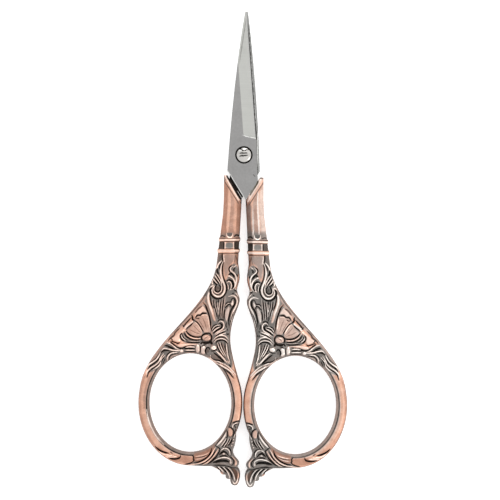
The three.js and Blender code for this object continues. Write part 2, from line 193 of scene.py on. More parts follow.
def line_distance(x: np.ndarray, y: np.ndarray, line: np.ndarray) -> tuple[np.ndarray, np.ndarray]:
    """Measure points against a line.

    Args:
        x: Pixels across.
        y: Pixels down.
        line: Points of the line.

    Returns:
        Distance to the line, and how far along it the nearest place is, from 0 to 1.
    """
    spans = np.diff(line, axis=0)
    lengths = np.hypot(spans[:, 0], spans[:, 1])
    starts = np.concatenate([[0.0], np.cumsum(lengths)])
    best = np.full(len(x), np.inf)
    along = np.zeros(len(x))
    for start, span, length, passed in zip(line, spans, lengths, starts):
        away_x = x - start[0]
        away_y = y - start[1]
        share = np.clip((away_x * span[0] + away_y * span[1]) / max(length**2, LEAST_SPAN), 0.0, 1.0)
        distance = np.hypot(away_x - share * span[0], away_y - share * span[1])
        closer = distance < best
        best[closer] = distance[closer]
        along[closer] = passed + share[closer] * length
    return best, along / starts[-1]


def taper_share(along: np.ndarray, taper: Taper) -> np.ndarray:
    """Work out the width that is left along a tapered mark.

    Args:
        along: How far along the mark, from 0 to 1.
        taper: Which ends run out.

    Returns:
        Share of the full width.
    """
    share = np.ones_like(along)
    if taper in (Taper.START, Taper.BOTH):
        share = np.minimum(share, TAPER_TIP + along / TAPER_RUN)
    if taper in (Taper.END, Taper.BOTH):
        share = np.minimum(share, TAPER_TIP + (1.0 - along) / TAPER_RUN)
    return share


@dataclass(frozen=True)
class Stroke:
    """A mark along a line: a ridge or a groove.

    Args:
        name: What the mark is.
        line: Points of its middle, in the photograph's pixels.
        width: Its width, in pixels.
        relief: Millimetres that a ridge's crest lies above the blank, or a groove's bed below it.
        tone: Its patina; on a mark without relief it is a painted highlight or a painted darker band.
        taper: Which ends run out.
    """

    name: str
    line: tuple[Point, ...]
    width: float
    relief: float = 0.3
    tone: float = 0.0
    taper: Taper = Taper.BOTH

    def lay(self, sheet: Sheet) -> tuple[np.ndarray, np.ndarray]:
        """Find the points under the stroke.

        Args:
            sheet: The sheet to carve.

        Returns:
            Their indices, and how many half widths each lies from the stroke's middle.
        """
        curve = smooth_line(self.line)
        picked = sheet.near(curve, self.width)
        distance, along = line_distance(sheet.x[picked], sheet.y[picked], curve)
        return picked, distance / (0.5 * self.width * taper_share(along, self.taper))


@dataclass(frozen=True)
class Ridge(Stroke):
    """A raised strand, rubbed bright along its crest; without relief it is a flat painted highlight."""

    width: float = 1.5
    tone: float = 1.0

    def carve(self, sheet: Sheet, flush: float) -> None:
        """Raise the strand out of the sheet.

        Args:
            sheet: The sheet to carve.
            flush: Hue of the strand.
        """
        picked, away = self.lay(sheet)
        share = np.sqrt(np.clip(1.0 - away**2, 0.0, 1.0))
        here = sheet.height[picked]
        raised = here * (1.0 - share) + self.relief * share
        sheet.height[picked] = np.maximum(here, raised)
        sheet.tone_mark(picked, smooth_step(*RUBBED, share), self.tone, flush)


@dataclass(frozen=True)
class Groove(Stroke):
    """A dark cut line; without relief it is a darker band painted on the face."""

    width: float = 1.2

    def carve(self, sheet: Sheet, flush: float) -> None:
        """Cut the line into the sheet.

        Args:
            sheet: The sheet to carve.
            flush: Hue of the line.
        """
        picked, away = self.lay(sheet)
        share = 1.0 - smooth_step(*GROOVE_SIDE, away)
        here = sheet.height[picked]
        sunk = here * (1.0 - share) - self.relief * share
        sheet.height[picked] = np.minimum(here, sunk)
        sheet.tone_mark(picked, share, self.tone, flush)


@dataclass(frozen=True)
class Pad:
    """A smooth leaf, petal or sunk ground with a soft edge.

    Args:
        name: What the mark is.
        outline: Points of its rim, in the photograph's pixels.
        level: Millimetres that it stands above the blank.
        tone: Its patina, or, on some pads, painted light or shade.
        soft: Pixels inside its rim where it reaches its level.
        flush: Its own hue, where it differs from its motif's.
    """

    name: str
    outline: tuple[Point, ...]
    level: float = 0.1
    tone: float = 0.85
    soft: float = 1.2
    flush: float | None = None

    def carve(self, sheet: Sheet, flush: float) -> None:
        """Lay the leaf on the sheet, from its soft edge to its level.

        Args:
            sheet: The sheet to carve.
            flush: Hue of the leaf, where it has none of its own.
        """
        rim = smooth_line(self.outline, closed=True)
        picked = sheet.near(rim, self.soft)
        x = sheet.x[picked]
        y = sheet.y[picked]
        ring = np.vstack([rim, rim[:1]])
        distance, _ = line_distance(x, y, ring)
        inside = np.zeros(len(picked), dtype=bool)
        for (x0, y0), (x1, y1) in zip(ring[:-1], ring[1:]):
            crosses = (y0 > y) != (y1 > y)
            if crosses.any():
                inside ^= crosses & (x < x0 + (y - y0) * (x1 - x0) / (y1 - y0))
        depth = np.where(inside, distance, -distance)
        share = smooth_step(-0.5 * self.soft, self.soft, depth)
        sheet.height[picked] = sheet.height[picked] * (1.0 - share) + self.level * share
        sheet.tone_mark(picked, share, self.tone, flush if self.flush is None else self.flush)


@dataclass(frozen=True)
class Bead:
    """A domed bead or cushion.

    Args:
        name: What the mark is.
        centre: Its middle, in the photograph's pixels.
        radii: Its half width and half height, in pixels.
        level: Millimetres that its middle stands above the blank.
        tone: Its patina.
    """

    name: str
    centre: Point
    radii: Point
    level: float = 0.34
    tone: float = 0.95

    def carve(self, sheet: Sheet, flush: float) -> None:
        """Raise the dome out of the sheet.

        Args:
            sheet: The sheet to carve.
            flush: Hue of the dome.
        """
        picked = sheet.near(np.array([self.centre]), max(self.radii))
        across = (sheet.x[picked] - self.centre[0]) / self.radii[0]
        down = (sheet.y[picked] - self.centre[1]) / self.radii[1]
        share = np.sqrt(np.clip(1.0 - across**2 - down**2, 0.0, 1.0))
        sheet.height[picked] = sheet.height[picked] * (1.0 - share) + self.level * share
        sheet.tone_mark(picked, smooth_step(*RUBBED, share), self.tone, flush)


@dataclass(frozen=True)
class BowRim:
    """The sloped inner rim of the finger bow and the dark crease along its outer side; the rim's grey is
    patina and painted shade.

    Args:
        name: What the mark is.
        centre: Middle of the bow's opening, in the photograph's pixels.
        radii: Half width and half height of the opening, in pixels.
        slope: Width of the sloped rim, in pixels.
        crease: Half width of the crease, in pixels.
        depth: Millimetres that the crease is cut.
        tone: Tone of the rim, patina and painted shade.
        line_tone: Patina of the crease.
        blur: Pixels to each side over which the rim's patina gives way to the band's.
        haze: Pixels beyond the crease over which the band is greyed.
        haze_grey: Hue that the haze takes away at the crease.
    """

    name: str
    centre: Point
    radii: Point
    slope: float
    crease: float
    depth: float = 0.08
    tone: float = 0.57
    line_tone: float = 0.0
    blur: float = 0.3
    haze: float = 3.0
    haze_grey: float = 0.3

    def carve(self, sheet: Sheet, flush: float) -> None:
        """Grey the rim and cut the crease, both worked out from the bow's ellipse.

        Args:
            sheet: The sheet to carve.
            flush: Hue of the rim.
        """
        across = sheet.x - self.centre[0]
        down = sheet.y - self.centre[1]
        reach = np.hypot(across, down)
        share = np.hypot(across / self.radii[0], down / self.radii[1])
        out = reach - reach / share
        everywhere = np.arange(len(out))
        sheet.flush -= self.haze_grey * (1.0 - smooth_step(self.slope, self.slope + self.haze, out))
        rim = 1.0 - smooth_step(self.slope - self.blur, self.slope + self.blur, out)
        sheet.tone_mark(everywhere, rim, self.tone, flush)
        line = 1.0 - smooth_step(*CREASE_SIDE, np.abs(out - self.slope) / self.crease)
        sheet.height -= self.depth * line
        sheet.tone_mark(everywhere, line, self.line_tone, flush)


Mark = Ridge | Groove | Pad | Bead | BowRim


@dataclass(frozen=True)
class Motif:
    """One carved ornament.

    Args:
        name: What the ornament is.
        marks: Its marks, in the order in which they are cut.
        flush: Hue of its marks.
        only: The handle that has it, where the other one has not.
    """

    name: str
    marks: tuple[Mark, ...]
    flush: float = 0.4
    only: Side | None = None

    def carve(self, sheet: Sheet, side: Side) -> None:
        """Cut every mark of the ornament, where the handle has it.

        Args:
            sheet: The sheet to carve.
            side: The handle that the sheet belongs to.
        """
        if self.only in (None, side):
            for mark in self.marks:
                mark.carve(sheet, self.flush)


# The ornaments, drawn on the photograph's left handle. After its points, a ridge or a groove gives its width
# in pixels, its relief in millimetres and its tone, and a pad gives its level, tone, soft edge and hue.

# Sunk and darkened grounds, which the ornaments stand on.
GROUNDS = Motif("grounds", (
    Pad("scroll ground", (
        (222.4, 260), (216, 266), (209, 280), (203, 298), (207, 306), (210.5, 320), (212, 334),
        (213, 350), (222, 364), (231, 369), (233, 360), (231, 345), (231, 330), (235, 316), (240, 303),
        (238, 293), (241, 284), (240, 272), (236, 264), (231.5, 264.5), (229, 271), (227, 278),
        (224.6, 279), (223.4, 270),
    ), level=-0.12, tone=0.46, soft=1.6),
    Pad("flower ground", (
        (203, 304), (208, 312), (211, 330), (212, 344), (200, 345), (184, 342), (181, 335), (187, 329),
        (194, 319),
    ), level=-0.1, tone=0.48, soft=1.4),
    Pad("ring top ground", (
        (160, 349), (167, 342), (176, 345), (190, 345), (213, 345), (214, 357), (200, 356), (184, 355.5),
        (172, 361), (162, 365.6), (153, 371.4), (148, 371.6), (149.6, 364),
    ), level=-0.12, tone=0.46, soft=1.4),
    Pad("foot ground", (
        (228, 427), (234, 421), (241, 421), (239, 432), (235, 446), (236, 455), (241, 462), (241, 474),
        (236, 487), (228, 482), (217, 468), (190, 466), (187, 463.5), (194, 460), (194, 453), (208, 450),
        (217, 443),
    ), level=-0.1, tone=0.46, soft=1.4),
), 0.12)

# The long facets of the shank, each painted a tone of its own as painted light and shade, with their rubbed
# arrises.
SHANK = Motif("shank", (
    Pad("outer facet", (
        (222.6, 178), (228.4, 189), (228.8, 208), (227.2, 224), (226.6, 237), (218.6, 237), (220.6, 215),
        (222.6, 195),
    ), 0.0, 0.69, 1.6, 1.0),
    Pad("middle facet", (
        (229.6, 190), (234.6, 200), (234.4, 215), (233.6, 234), (227.8, 234), (229.4, 210),
    ), 0.0, 0.74, 1.6, 0.82),
    Pad("inner facet", (
        (236.4, 200), (242, 203), (241.4, 220), (241, 237), (235.4, 237), (236, 215),
    ), 0.0, 0.68, 1.6),
    Ridge("outer arris", ((229, 188.6), (229.2, 206), (228, 222), (227.2, 233)), 3.2, 0.03, 0.9),
    Ridge("inner arris", ((235.6, 201), (235.2, 212), (234.6, 223), (234, 233)), 2.8, 0.03, 0.84),
), 0.95)

# The bright sloped rim of the shank's mouth, with the dark line against the blade.
MOUTH = Motif("mouth", (
    Pad("mouth rim", ((226.4, 173.4), (243.4, 200), (240, 202.2), (223.4, 176.2)), 0.0, 0.85, 0.5, 0.8),
    Ridge("mouth edge", ((226.4, 176.2), (233, 187.8), (239.9, 199.6)), 1.7, 0.04, 1.0, Taper.NONE),
    Groove("rim line", ((222.8, 178.4), (229.6, 189.2), (238.4, 203.2)), 1.2, 0.06, 0.34, Taper.NONE),
    Groove("mouth line", ((228.6, 174.2), (235.6, 186), (242.6, 197.6)), 1.5, 0.22, 0.06, Taper.NONE),
    Groove("mouth corner", ((241.4, 199.4), (240.8, 203)), 1.4, 0.0, 0.1, Taper.NONE),
), 0.7)

# The left handle's mouth stands a little open; along its edge painted shade, black, makes the blade's dark
# seat read wider, with a bright line beside it.
LEFT_SEAT = Motif("left seat", (
    Pad("seat shadow", ((229.8, 176.6), (242.2, 197), (239, 198.6), (226.8, 178)), 0.0, 0.02, 0.5),
    Ridge("seat edge", ((225.5, 176.8), (232.1, 188.4), (238.9, 200.1)), 1.5, 0.04, 1.0, Taper.NONE),
    Groove("rim top", ((224.4, 176.6), (225.2, 180.6)), 1.8, 0.0, 0.45),
), 0.5, Side.LEFT)

# The right handle's shank has painted light: a paler outer facet and painted highlights along it and at its
# foot, with painted shade on its inner facet; its foot and shoulder are painted darker, and its mouth has a
# dark outline at the top.
RIGHT_GLEAM = Motif("right gleam", (
    # Painted light on the outer facet.
    Pad("pale facet", (
        (223.6, 182), (228.2, 191), (228.6, 208), (227, 224), (226.4, 234), (219.6, 234), (221, 215),
        (222.8, 195),
    ), 0.0, 0.84, 1.6, 0.72),
    # Painted shade on the inner facet, which faces the other handle.
    Pad("shaded facet", (
        (236.4, 204), (242, 205), (241.4, 220), (241, 237), (235.4, 237), (236, 215),
    ), 0.0, 0.56, 1.6, 0.7),
    Ridge("shank gleam", ((229.6, 190), (229.6, 206), (228.4, 222), (228, 234)), 1.7, 0.0, 1.0),
    Ridge("second gleam", ((234.6, 206), (234.2, 218), (233.4, 234)), 1.8, 0.0, 0.86),
    Groove("mouth tip", ((231.6, 179.6), (229.6, 177.2), (227, 176.1), (224.6, 176.8)), 1.5, 0.04, 0.06),
    Pad("darker foot", (
        (220.4, 231), (229, 230), (240, 230), (240.4, 238), (229, 238), (219.4, 238),
    ), 0.0, 0.36, 5.0, 0.3),
    Ridge("foot gleam", ((228.2, 228), (228, 236)), 1.2, 0.0, 1.0),
    Ridge("second foot gleam", ((234, 228), (234, 237)), 1.2, 0.0, 1.0),
    Pad("darker shoulder", (
        (215.6, 266), (211.6, 276), (206.6, 288), (200, 300), (203.4, 303.4), (208.4, 294), (212, 285),
        (216, 274),
    ), 0.0, 0.58, 1.6, 0.65),
), 0.45, Side.RIGHT)

# The two turned collars and the faceted shank above and below them.
COLLARS = Motif("collars", (
    Pad("shank foot", (
        (220, 233), (229, 232), (239, 233), (240, 238.6), (229, 238.6), (219, 238.6),
    ), 0.0, 0.56, 4.0),
    Pad("scallop", (
        (227.2, 233), (232.4, 233), (232.4, 235.8), (229.8, 237.2), (227.2, 235.8),
    ), 0.0, 0.36, 0.7, 0.1),
    Ridge("scallop rim", (
        (226.6, 233), (227, 236), (229.7, 237.5), (232.4, 236), (232.8, 233),
    ), 1.2, 0.06),
    Groove("shank foot right", ((234, 236.8), (236.6, 235), (239.6, 235.8)), 2.2, 0.14, 0.05),
    Groove("shank foot left", ((219.6, 236.8), (222.6, 235.8), (225.6, 237)), 1.7, 0.1, 0.15),
    Groove("collar line", ((218.6, 238.2), (229, 238.5), (240, 238.2)), 0.9, 0.1, 0.12, Taper.NONE),
    Ridge("upper bead", ((218.4, 239.9), (229, 240.2), (240.2, 239.9)), 1.6, 0.04, 1.0, Taper.NONE),
    Ridge("lower bead", ((217.4, 250.9), (229, 251.2), (241, 250.9)), 1.8, 0.04, 1.0, Taper.NONE),
    Groove("upper bead line", ((218, 241.7), (229, 241.8), (240, 241.7)), 1.0, 0.1, 0.05, Taper.NONE),
    Groove("lower bead line", ((217, 248.7), (229, 248.8), (241, 248.8)), 1.0, 0.1, 0.05, Taper.NONE),
    Groove("collar shadow", ((217, 253.5), (229, 253.7), (240, 253.5)), 1.0, 0.12, 0.05, Taper.NONE),
    Pad("band left", ((217.6, 242.4), (224.6, 242.4), (224.6, 248.2), (217, 248.2)), -0.12, 0.26, 0.7),
    Pad("band right", ((234.2, 242.4), (241, 242.4), (241.4, 248.2), (234.4, 248.2)), -0.12, 0.14, 0.7),
    Groove("band corner", ((223.9, 242.6), (223.9, 248.2)), 1.2, 0.14, 0.0, Taper.NONE),
    Pad("band panel", ((226.2, 243), (232.4, 243), (232.6, 247.8), (226, 247.8)), -0.04, 0.5, 0.7, 0.0),
    Ridge("panel left", ((225.2, 242.4), (225.1, 248.2)), 1.2, 0.06, 0.95, Taper.NONE),
    Ridge("panel right", ((233.5, 242.4), (233.8, 248.2)), 1.2, 0.06, 0.95, Taper.NONE),
    Pad("stem", (
        (223.4, 254.6), (235.6, 254.6), (234, 261), (229.6, 266), (228, 274), (225.4, 277), (223.6, 268),
        (222.8, 260),
    ), 0.0, 0.68, 1.4, 0.6),
    Pad("stem flank", (
        (216.4, 254.6), (221.6, 254.6), (221.8, 260.4), (218.6, 264), (215.4, 264),
    ), 0.0, 0.4, 1.0, 0.4),
    Pad("stem side", (
        (235.6, 254.6), (240.6, 254.6), (240, 262), (236.8, 265), (234.6, 261),
    ), 0.0, 0.56, 1.2, 0.9),
    Groove("stem left", ((222.2, 253.8), (222.3, 257), (222.7, 260.6)), 1.8, 0.2, 0.0, Taper.NONE),
    Groove("stem right", ((235.8, 254.4), (235, 259), (233.6, 264)), 1.0, 0.1, 0.35),
    Ridge("stem edge", ((223.8, 254.4), (223.9, 258), (224.6, 262.5)), 1.1, 0.06, 1.0),
), 0.6)

# The hook that winds round its eye at the head of the plate, with the strands beside it.
HOOK = Motif("hook", (
    Groove("hook shadow", (
        (223, 262), (222.3, 268), (222.5, 275), (224.7, 281), (226.5, 287), (226, 292), (222.6, 296.8),
        (217.5, 298.7), (212.6, 296.4), (210.2, 292), (211, 288),
    ), 1.7, 0.38, taper=Taper.NONE),
    Ridge("hook rim", (
        (223.2, 261.4), (221.4, 266), (220.9, 273), (222.6, 280), (224.7, 286), (224.4, 291.4),
        (221.3, 295.6), (217, 296.4), (213.2, 293.8), (212.2, 290), (213.6, 286.6),
    ), 2.5, 0.36),
    Groove("rim line", (
        (222.6, 283), (223, 288), (221.6, 292.2), (218.2, 294.4), (214.8, 293.2),
    ), 0.9, 0.15, 0.1),
    Ridge("inner rim", (
        (221, 283.2), (221.9, 287.4), (220.8, 291.4), (217.8, 293.2), (214.6, 291.6), (213.9, 288.6),
        (214.6, 286),
    ), 1.5, 0.3),
    Groove("eye ring", (
        (219.2, 284.9), (220.6, 287.2), (220.2, 290.6), (217.6, 292), (215.2, 290.6), (215, 287.6),
        (216.4, 285.2),
    ), 1.2, 0.3, taper=Taper.NONE),
    Bead("eye", (217.7, 288.5), (2.0, 2.7), 0.1, 0.38),
    Groove("eye mark", ((217.9, 286.6), (218.1, 289.2)), 0.8, 0.1, 0.1),
    Ridge("left edge", ((222, 260.6), (219.2, 263.6), (217.4, 267), (216.4, 270)), 1.5, 0.28),
    Groove("edge line", ((221.9, 261.6), (220, 265), (219.1, 269.5)), 1.1, 0.25),
    Groove("slot", ((217.2, 268.6), (217.3, 271.2), (218.4, 274.4)), 2.2, 0.42),
    Ridge("strand one", ((216.4, 273.2), (219, 277), (220.9, 280.8), (221.7, 284)), 1.3),
    Groove("strand line one", ((215.4, 273.8), (217.9, 277.6), (220, 281.2), (221, 284.2)), 1.0),
    Ridge("strand two", ((214.6, 275), (217.1, 278.7), (219.3, 281.9), (220.4, 284.6)), 1.3),
    Groove("strand line two", ((213.9, 276.5), (216.4, 280.2), (218.7, 283.1), (219.8, 285)), 1.0),
    Ridge("strand three", ((213.2, 278.2), (215.2, 281), (217.6, 283.6)), 1.3),
    Groove("strand line three", ((213.4, 281.2), (215.5, 283.6), (217.6, 284.8)), 1.4, 0.36),
    Groove("edge slot", ((211.9, 279.6), (211.3, 281.8), (210.9, 283.4)), 1.3),
    Ridge("edge leaf", ((212.9, 280.2), (212.2, 282.8), (213.6, 284.6)), 1.2),
))

# The long smooth leaf on the outer side and the ribs that run down from the hook.
LEAF_AND_RIBS = Motif("leaf and ribs", (
    Pad("left leaf", (
        (213.4, 285.8), (210, 289.4), (207.3, 294.5), (206.4, 300), (207.8, 305), (210.3, 312),
        (213.2, 320), (215.8, 320.5), (214.2, 312), (211.8, 303.5), (210.6, 297), (210.3, 291.5),
    ), 0.12, 0.9, 1.3, 0.85),
    Ridge("leaf crest", (
        (210.8, 289.6), (208.6, 295), (208.4, 300), (210, 306.5), (212.6, 314),
    ), 1.8, 0.26),
    Ridge("leaf curl", ((214.2, 285.6), (211.9, 286.2), (209.8, 288.4)), 1.3, 0.3),
    Groove("curl line", ((213, 287.2), (211.6, 289.4), (210.8, 292.5)), 1.1),
    Groove("leaf edge", ((210.3, 291), (210.2, 297), (211.2, 303), (213, 308.5)), 1.3),
    Ridge("rib one", ((212.4, 299), (213, 304), (214.8, 311), (216.2, 318)), 1.1, 0.2, 0.8),
    Groove("rib line one", ((213.5, 299), (214, 304.5), (215.7, 310.5), (217, 317)), 1.0, 0.24),
    Ridge("rib two", ((214.8, 299), (215.2, 305), (216.6, 310), (217.5, 314)), 1.1, 0.2, 0.8),
    Groove("rib line two", ((216.2, 299.4), (216.6, 304.5), (217.6, 309)), 0.9, 0.22),
    Ridge("rib three", ((217.3, 302), (217.6, 306), (218.2, 310)), 1.0, 0.2, 0.85),
    Groove("rib well", ((218.3, 299.6), (218.3, 302.4)), 1.5, 0.3),
    Ridge("rib four", ((220.2, 299.5), (219.4, 305), (218.9, 311), (218.7, 317)), 1.2, 0.22, 0.85),
    Groove("rib line four", ((221.2, 300.5), (220.6, 306.5), (220, 312), (219.8, 318.5)), 1.0, 0.24),
    Ridge("rib five", ((222.6, 298.5), (221.8, 304.5), (221.2, 311), (221, 318)), 1.2, 0.22, 0.8),
    Groove("rib line five", ((223.8, 298), (223, 304), (222.4, 311), (222.2, 318.5)), 0.9, 0.24),
    Ridge("rib six", (
        (225, 296.5), (224.6, 301.5), (223.9, 307), (223.2, 313), (223.2, 318.5),
    ), 1.2, 0.22, 0.8),
    Groove("lower well", ((218.2, 314.4), (218.2, 319.2)), 1.4, 0.3),
    Groove("left well", ((213.4, 304.8), (214.2, 308.2)), 1.5, 0.26, 0.1),
))

# The three curls that roll in from the inner edge, under the smooth stem.
CURLS = Motif("curls", (
    Pad("outer bulge", (
        (238.2, 273.5), (237, 279), (236.5, 284), (234.6, 288.2), (237, 289), (240, 284), (240.4, 277),
    ), 0.06, 0.82, 1.2, 1.0),
    Groove("first shadow", ((232, 264.9), (229.5, 267.2), (229.1, 270.2), (231, 273)), 1.2),
    Ridge("first curl", (
        (232.8, 266), (230.7, 267.8), (230.5, 270), (232.3, 271.8), (234.8, 274), (236.2, 277),
        (236.7, 280.5), (235.6, 285), (233, 288.6), (229.5, 290),
    ), 1.9, 0.36),
    Groove("first notch", ((235.2, 268), (233.6, 269.6), (234.6, 271.4)), 1.6),
    Ridge("first spur", ((233.2, 267.2), (235, 266.2), (236.6, 264.8)), 1.2),
    Groove("edge mark", ((236.8, 274), (237.7, 276.6)), 1.2),
    Groove("first crescent", ((228.4, 274.4), (231.2, 273.7), (233.4, 275.4), (234.2, 277.2)), 1.9, 0.42),
    Ridge("second curl", (
        (229, 276.4), (231.6, 277.2), (233.6, 279.4), (234.8, 282.5), (234.4, 286),
    ), 2.0, 0.34),
    Bead("second knob", (229.2, 276.1), (1.5, 1.3)),
    Groove("second crescent", (
        (226.4, 280.8), (229.3, 279.9), (232, 281.2), (233.5, 284), (233, 287.4), (231.9, 289.2),
    ), 2.0, 0.45),
    Ridge("third curl", (
        (227, 282.9), (228.4, 281.4), (230.3, 282), (231.5, 284.4), (231.4, 287), (230.5, 289.4),
    ), 1.5),
    Groove("third line", ((228.4, 283.4), (229.3, 286), (229.3, 289.2)), 0.9, 0.2),
    Ridge("third strand", ((227.7, 284), (228.4, 287), (228.3, 289.6)), 1.0, 0.24),
    Groove("curl back", ((226.6, 283.6), (227.1, 287), (227, 290.6)), 1.3),
    Groove("notch line", ((234, 289.8), (235.2, 290.7), (236.6, 290.8)), 1.1),
    Bead("notch knob", (236.1, 289.1), (1.1, 0.9)),
    Groove("notch pit", ((232.2, 293.8), (233.9, 292.9)), 1.3),
    Ridge("notch edge", ((235, 292.4), (237, 294.4), (238.4, 296.8)), 1.2),
))

# The scroll below the notch, with the flame in its mouth and the leaf that it holds.
SCROLL = Motif("scroll", (
    Ridge("scroll rim", (
        (228.4, 296.4), (232, 295.6), (235, 296.3), (237, 299), (237.2, 302.5), (235.8, 306.5),
        (233.6, 310.5), (232, 315.5), (231, 321), (229.6, 327),
    ), 2.1, 0.34),
    Groove("scroll slot", (
        (230.8, 300.8), (232.2, 298.4), (234, 298.4), (235.2, 300.8), (234.6, 304.5), (232.2, 308),
        (230.2, 312.5), (229, 318), (228.3, 325.5),
    ), 1.6, 0.42),
    Pad("flame", (
        (232.7, 299.9), (234, 301.4), (233.4, 305), (231.2, 306.8), (230, 304), (231, 302),
    ), 0.1, 0.78, 0.9),
    Ridge("flame edge", ((232.6, 300), (232.4, 302.6), (231, 305)), 1.0, 0.26),
    Groove("upper wave", ((225.6, 304.6), (227.4, 302.2), (229.6, 302.3), (231, 300.8)), 1.3),
    Ridge("wave crest", ((225.3, 306.4), (227.3, 303.9), (229.6, 303.2)), 1.1, 0.28),
    Pad("tongue leaf", (
        (226, 309), (228.4, 305.8), (230.2, 307.5), (229.5, 312), (228.3, 318), (226.3, 321.5),
        (224.8, 318.5), (224.6, 313),
    ), 0.16, 0.82, 1.1),
    Groove("lower wave", (
        (224.9, 308.2), (226.8, 305.6), (229, 304.1), (230.6, 304.9), (231.3, 307),
    ), 1.4),
    Groove("tongue side", ((224.8, 308.8), (224.1, 313), (223.7, 319)), 1.4),
    Groove("tongue foot", ((226.4, 322), (226, 325.5), (226.6, 327.6)), 1.2),
    Groove("rim side", ((233.6, 311.5), (231.8, 317), (230.5, 322), (229.3, 327.4)), 1.1, 0.24, 0.08),
))

# The double curl at the middle of the plate and the fan that opens below it.
FAN = Motif("double curl and fan", (
    Groove("curl crown", ((217.8, 322), (219.3, 319.6), (222, 319.3), (224.2, 320.6)), 1.1),
    Ridge("curl rim", (
        (218.5, 322.5), (220.3, 320.9), (222.6, 321.6), (224, 324), (223.6, 327), (221.5, 329.4),
        (217.6, 331.6), (214.2, 334.2),
    ), 1.8, 0.38),
    Groove("curl slot", (
        (218.4, 324.1), (220.4, 323.4), (222, 325), (221.4, 327.5), (218, 329.3), (215, 331.3),
        (213.2, 333.4),
    ), 1.7, 0.45),
    Ridge("curl lobe", ((220.2, 326.8), (217.4, 328), (214.8, 329.8), (212.9, 331.9)), 1.7, 0.38),
    Groove("lobe line", ((219.6, 325.8), (216.6, 326.6), (214, 328.7), (212.5, 331)), 1.1),
    Ridge("curl back", ((219.8, 324.8), (216.3, 325.4), (213.6, 327.4), (212.3, 330.2)), 1.2),
    Groove("back line", ((217, 324), (213.8, 325.7), (212, 328.4), (211.2, 331.6)), 1.2),
    Ridge("under strand", ((225.8, 329.4), (221.8, 331.2), (218, 333), (215, 335.2)), 1.2, 0.26),
    Groove("under line", ((226.2, 331), (222, 332.6), (218, 334.2), (215.4, 336.2)), 1.0, 0.25),
    Ridge("low strand", ((226.2, 332.6), (222, 333.8), (218.8, 335)), 1.0, 0.22),
    Groove("edge pearl one", ((227.4, 328.4), (227, 330.6)), 1.2),
    Groove("edge pearl two", ((226.9, 332.9), (227.4, 335.2)), 1.5),
    Groove("edge pearl three", ((228.7, 332.9), (228.8, 334.8)), 1.1),
    Ridge("arch one", (
        (213.2, 340.4), (215.6, 337.4), (219, 335.5), (223, 335.2), (226.3, 336.6), (228.5, 339.8),
    ), 1.4),
    Groove("arch line", (
        (215.4, 339.2), (217.8, 337.5), (221, 336.8), (224.5, 337.5), (227, 339.9),
    ), 1.1, 0.22, 0.15),
    Ridge("arch two", (
        (213.6, 342.8), (215.8, 340.1), (218.6, 338.7), (222.5, 338.4), (225.6, 339.6), (228.2, 342.4),
    ), 1.4),
    Groove("arch shadow", (
        (215.7, 343.4), (217.3, 341), (220.3, 340), (223.6, 340), (226, 341.6), (228, 344),
    ), 1.4, 0.36),
    Ridge("fan rib one", ((217.7, 342.8), (218.8, 346.6), (221.5, 351.6), (224.6, 356)), 1.3, 0.28),
    Groove("fan line one", ((218.7, 342.2), (220, 346.5), (222.6, 351.5), (225.6, 356.6)), 0.9, 0.25),
    Ridge("fan rib two", ((219.7, 341.8), (221.2, 346.5), (223.6, 351.6), (226.4, 357)), 1.2, 0.28),
    Groove("fan line two", ((220.9, 341.5), (222.6, 346.5), (225, 352), (227.2, 357.4)), 0.9, 0.25),
    Ridge("fan rib three", ((222.3, 341.5), (223.6, 346.5), (225.6, 352), (227.9, 358)), 1.2, 0.2, 0.7),
    Groove("fan line three", ((224.4, 341.8), (225.2, 347), (226.8, 353), (228.6, 359)), 0.9, 0.2, 0.1),
    Ridge("fan leaf", ((226.4, 343), (226.9, 349), (228, 355), (229.8, 362)), 1.8, 0.3),
    Groove("fan side", ((227.9, 344), (228.2, 350), (229.2, 356), (230.6, 362)), 1.0, 0.2, 0.1),
    Groove("fan foot line", (
        (216.9, 344), (217.9, 347.6), (220.8, 352.7), (224.2, 357.2), (226.8, 360.2),
    ), 1.2, 0.3),
    Ridge("pearl strand", ((215.8, 350.2), (219.5, 353.6), (223.6, 358), (227.6, 362.8)), 2.2, 0.28),
    Pad("fan inner leaf", (
        (210.8, 355.8), (213.5, 353.4), (217.5, 356.8), (222, 360.6), (218, 360), (213.4, 358.8),
    ), 0.1, 0.45, 0.9),
    Groove("leaf slot", ((213.4, 352), (217.5, 355.2), (221.6, 359), (224.8, 362.6)), 1.6, 0.42),
    Groove("leaf under", ((211.2, 357.4), (214.5, 359.3), (219, 360), (223.6, 361.9)), 1.3),
    Ridge("leaf lip", ((210.6, 355), (210.7, 357.8), (214.2, 360.4), (219.5, 361.6), (224, 363.8)), 1.2),
    Ridge("fan tip", ((227.6, 360.4), (229.6, 363.8)), 1.2, 0.25),
))

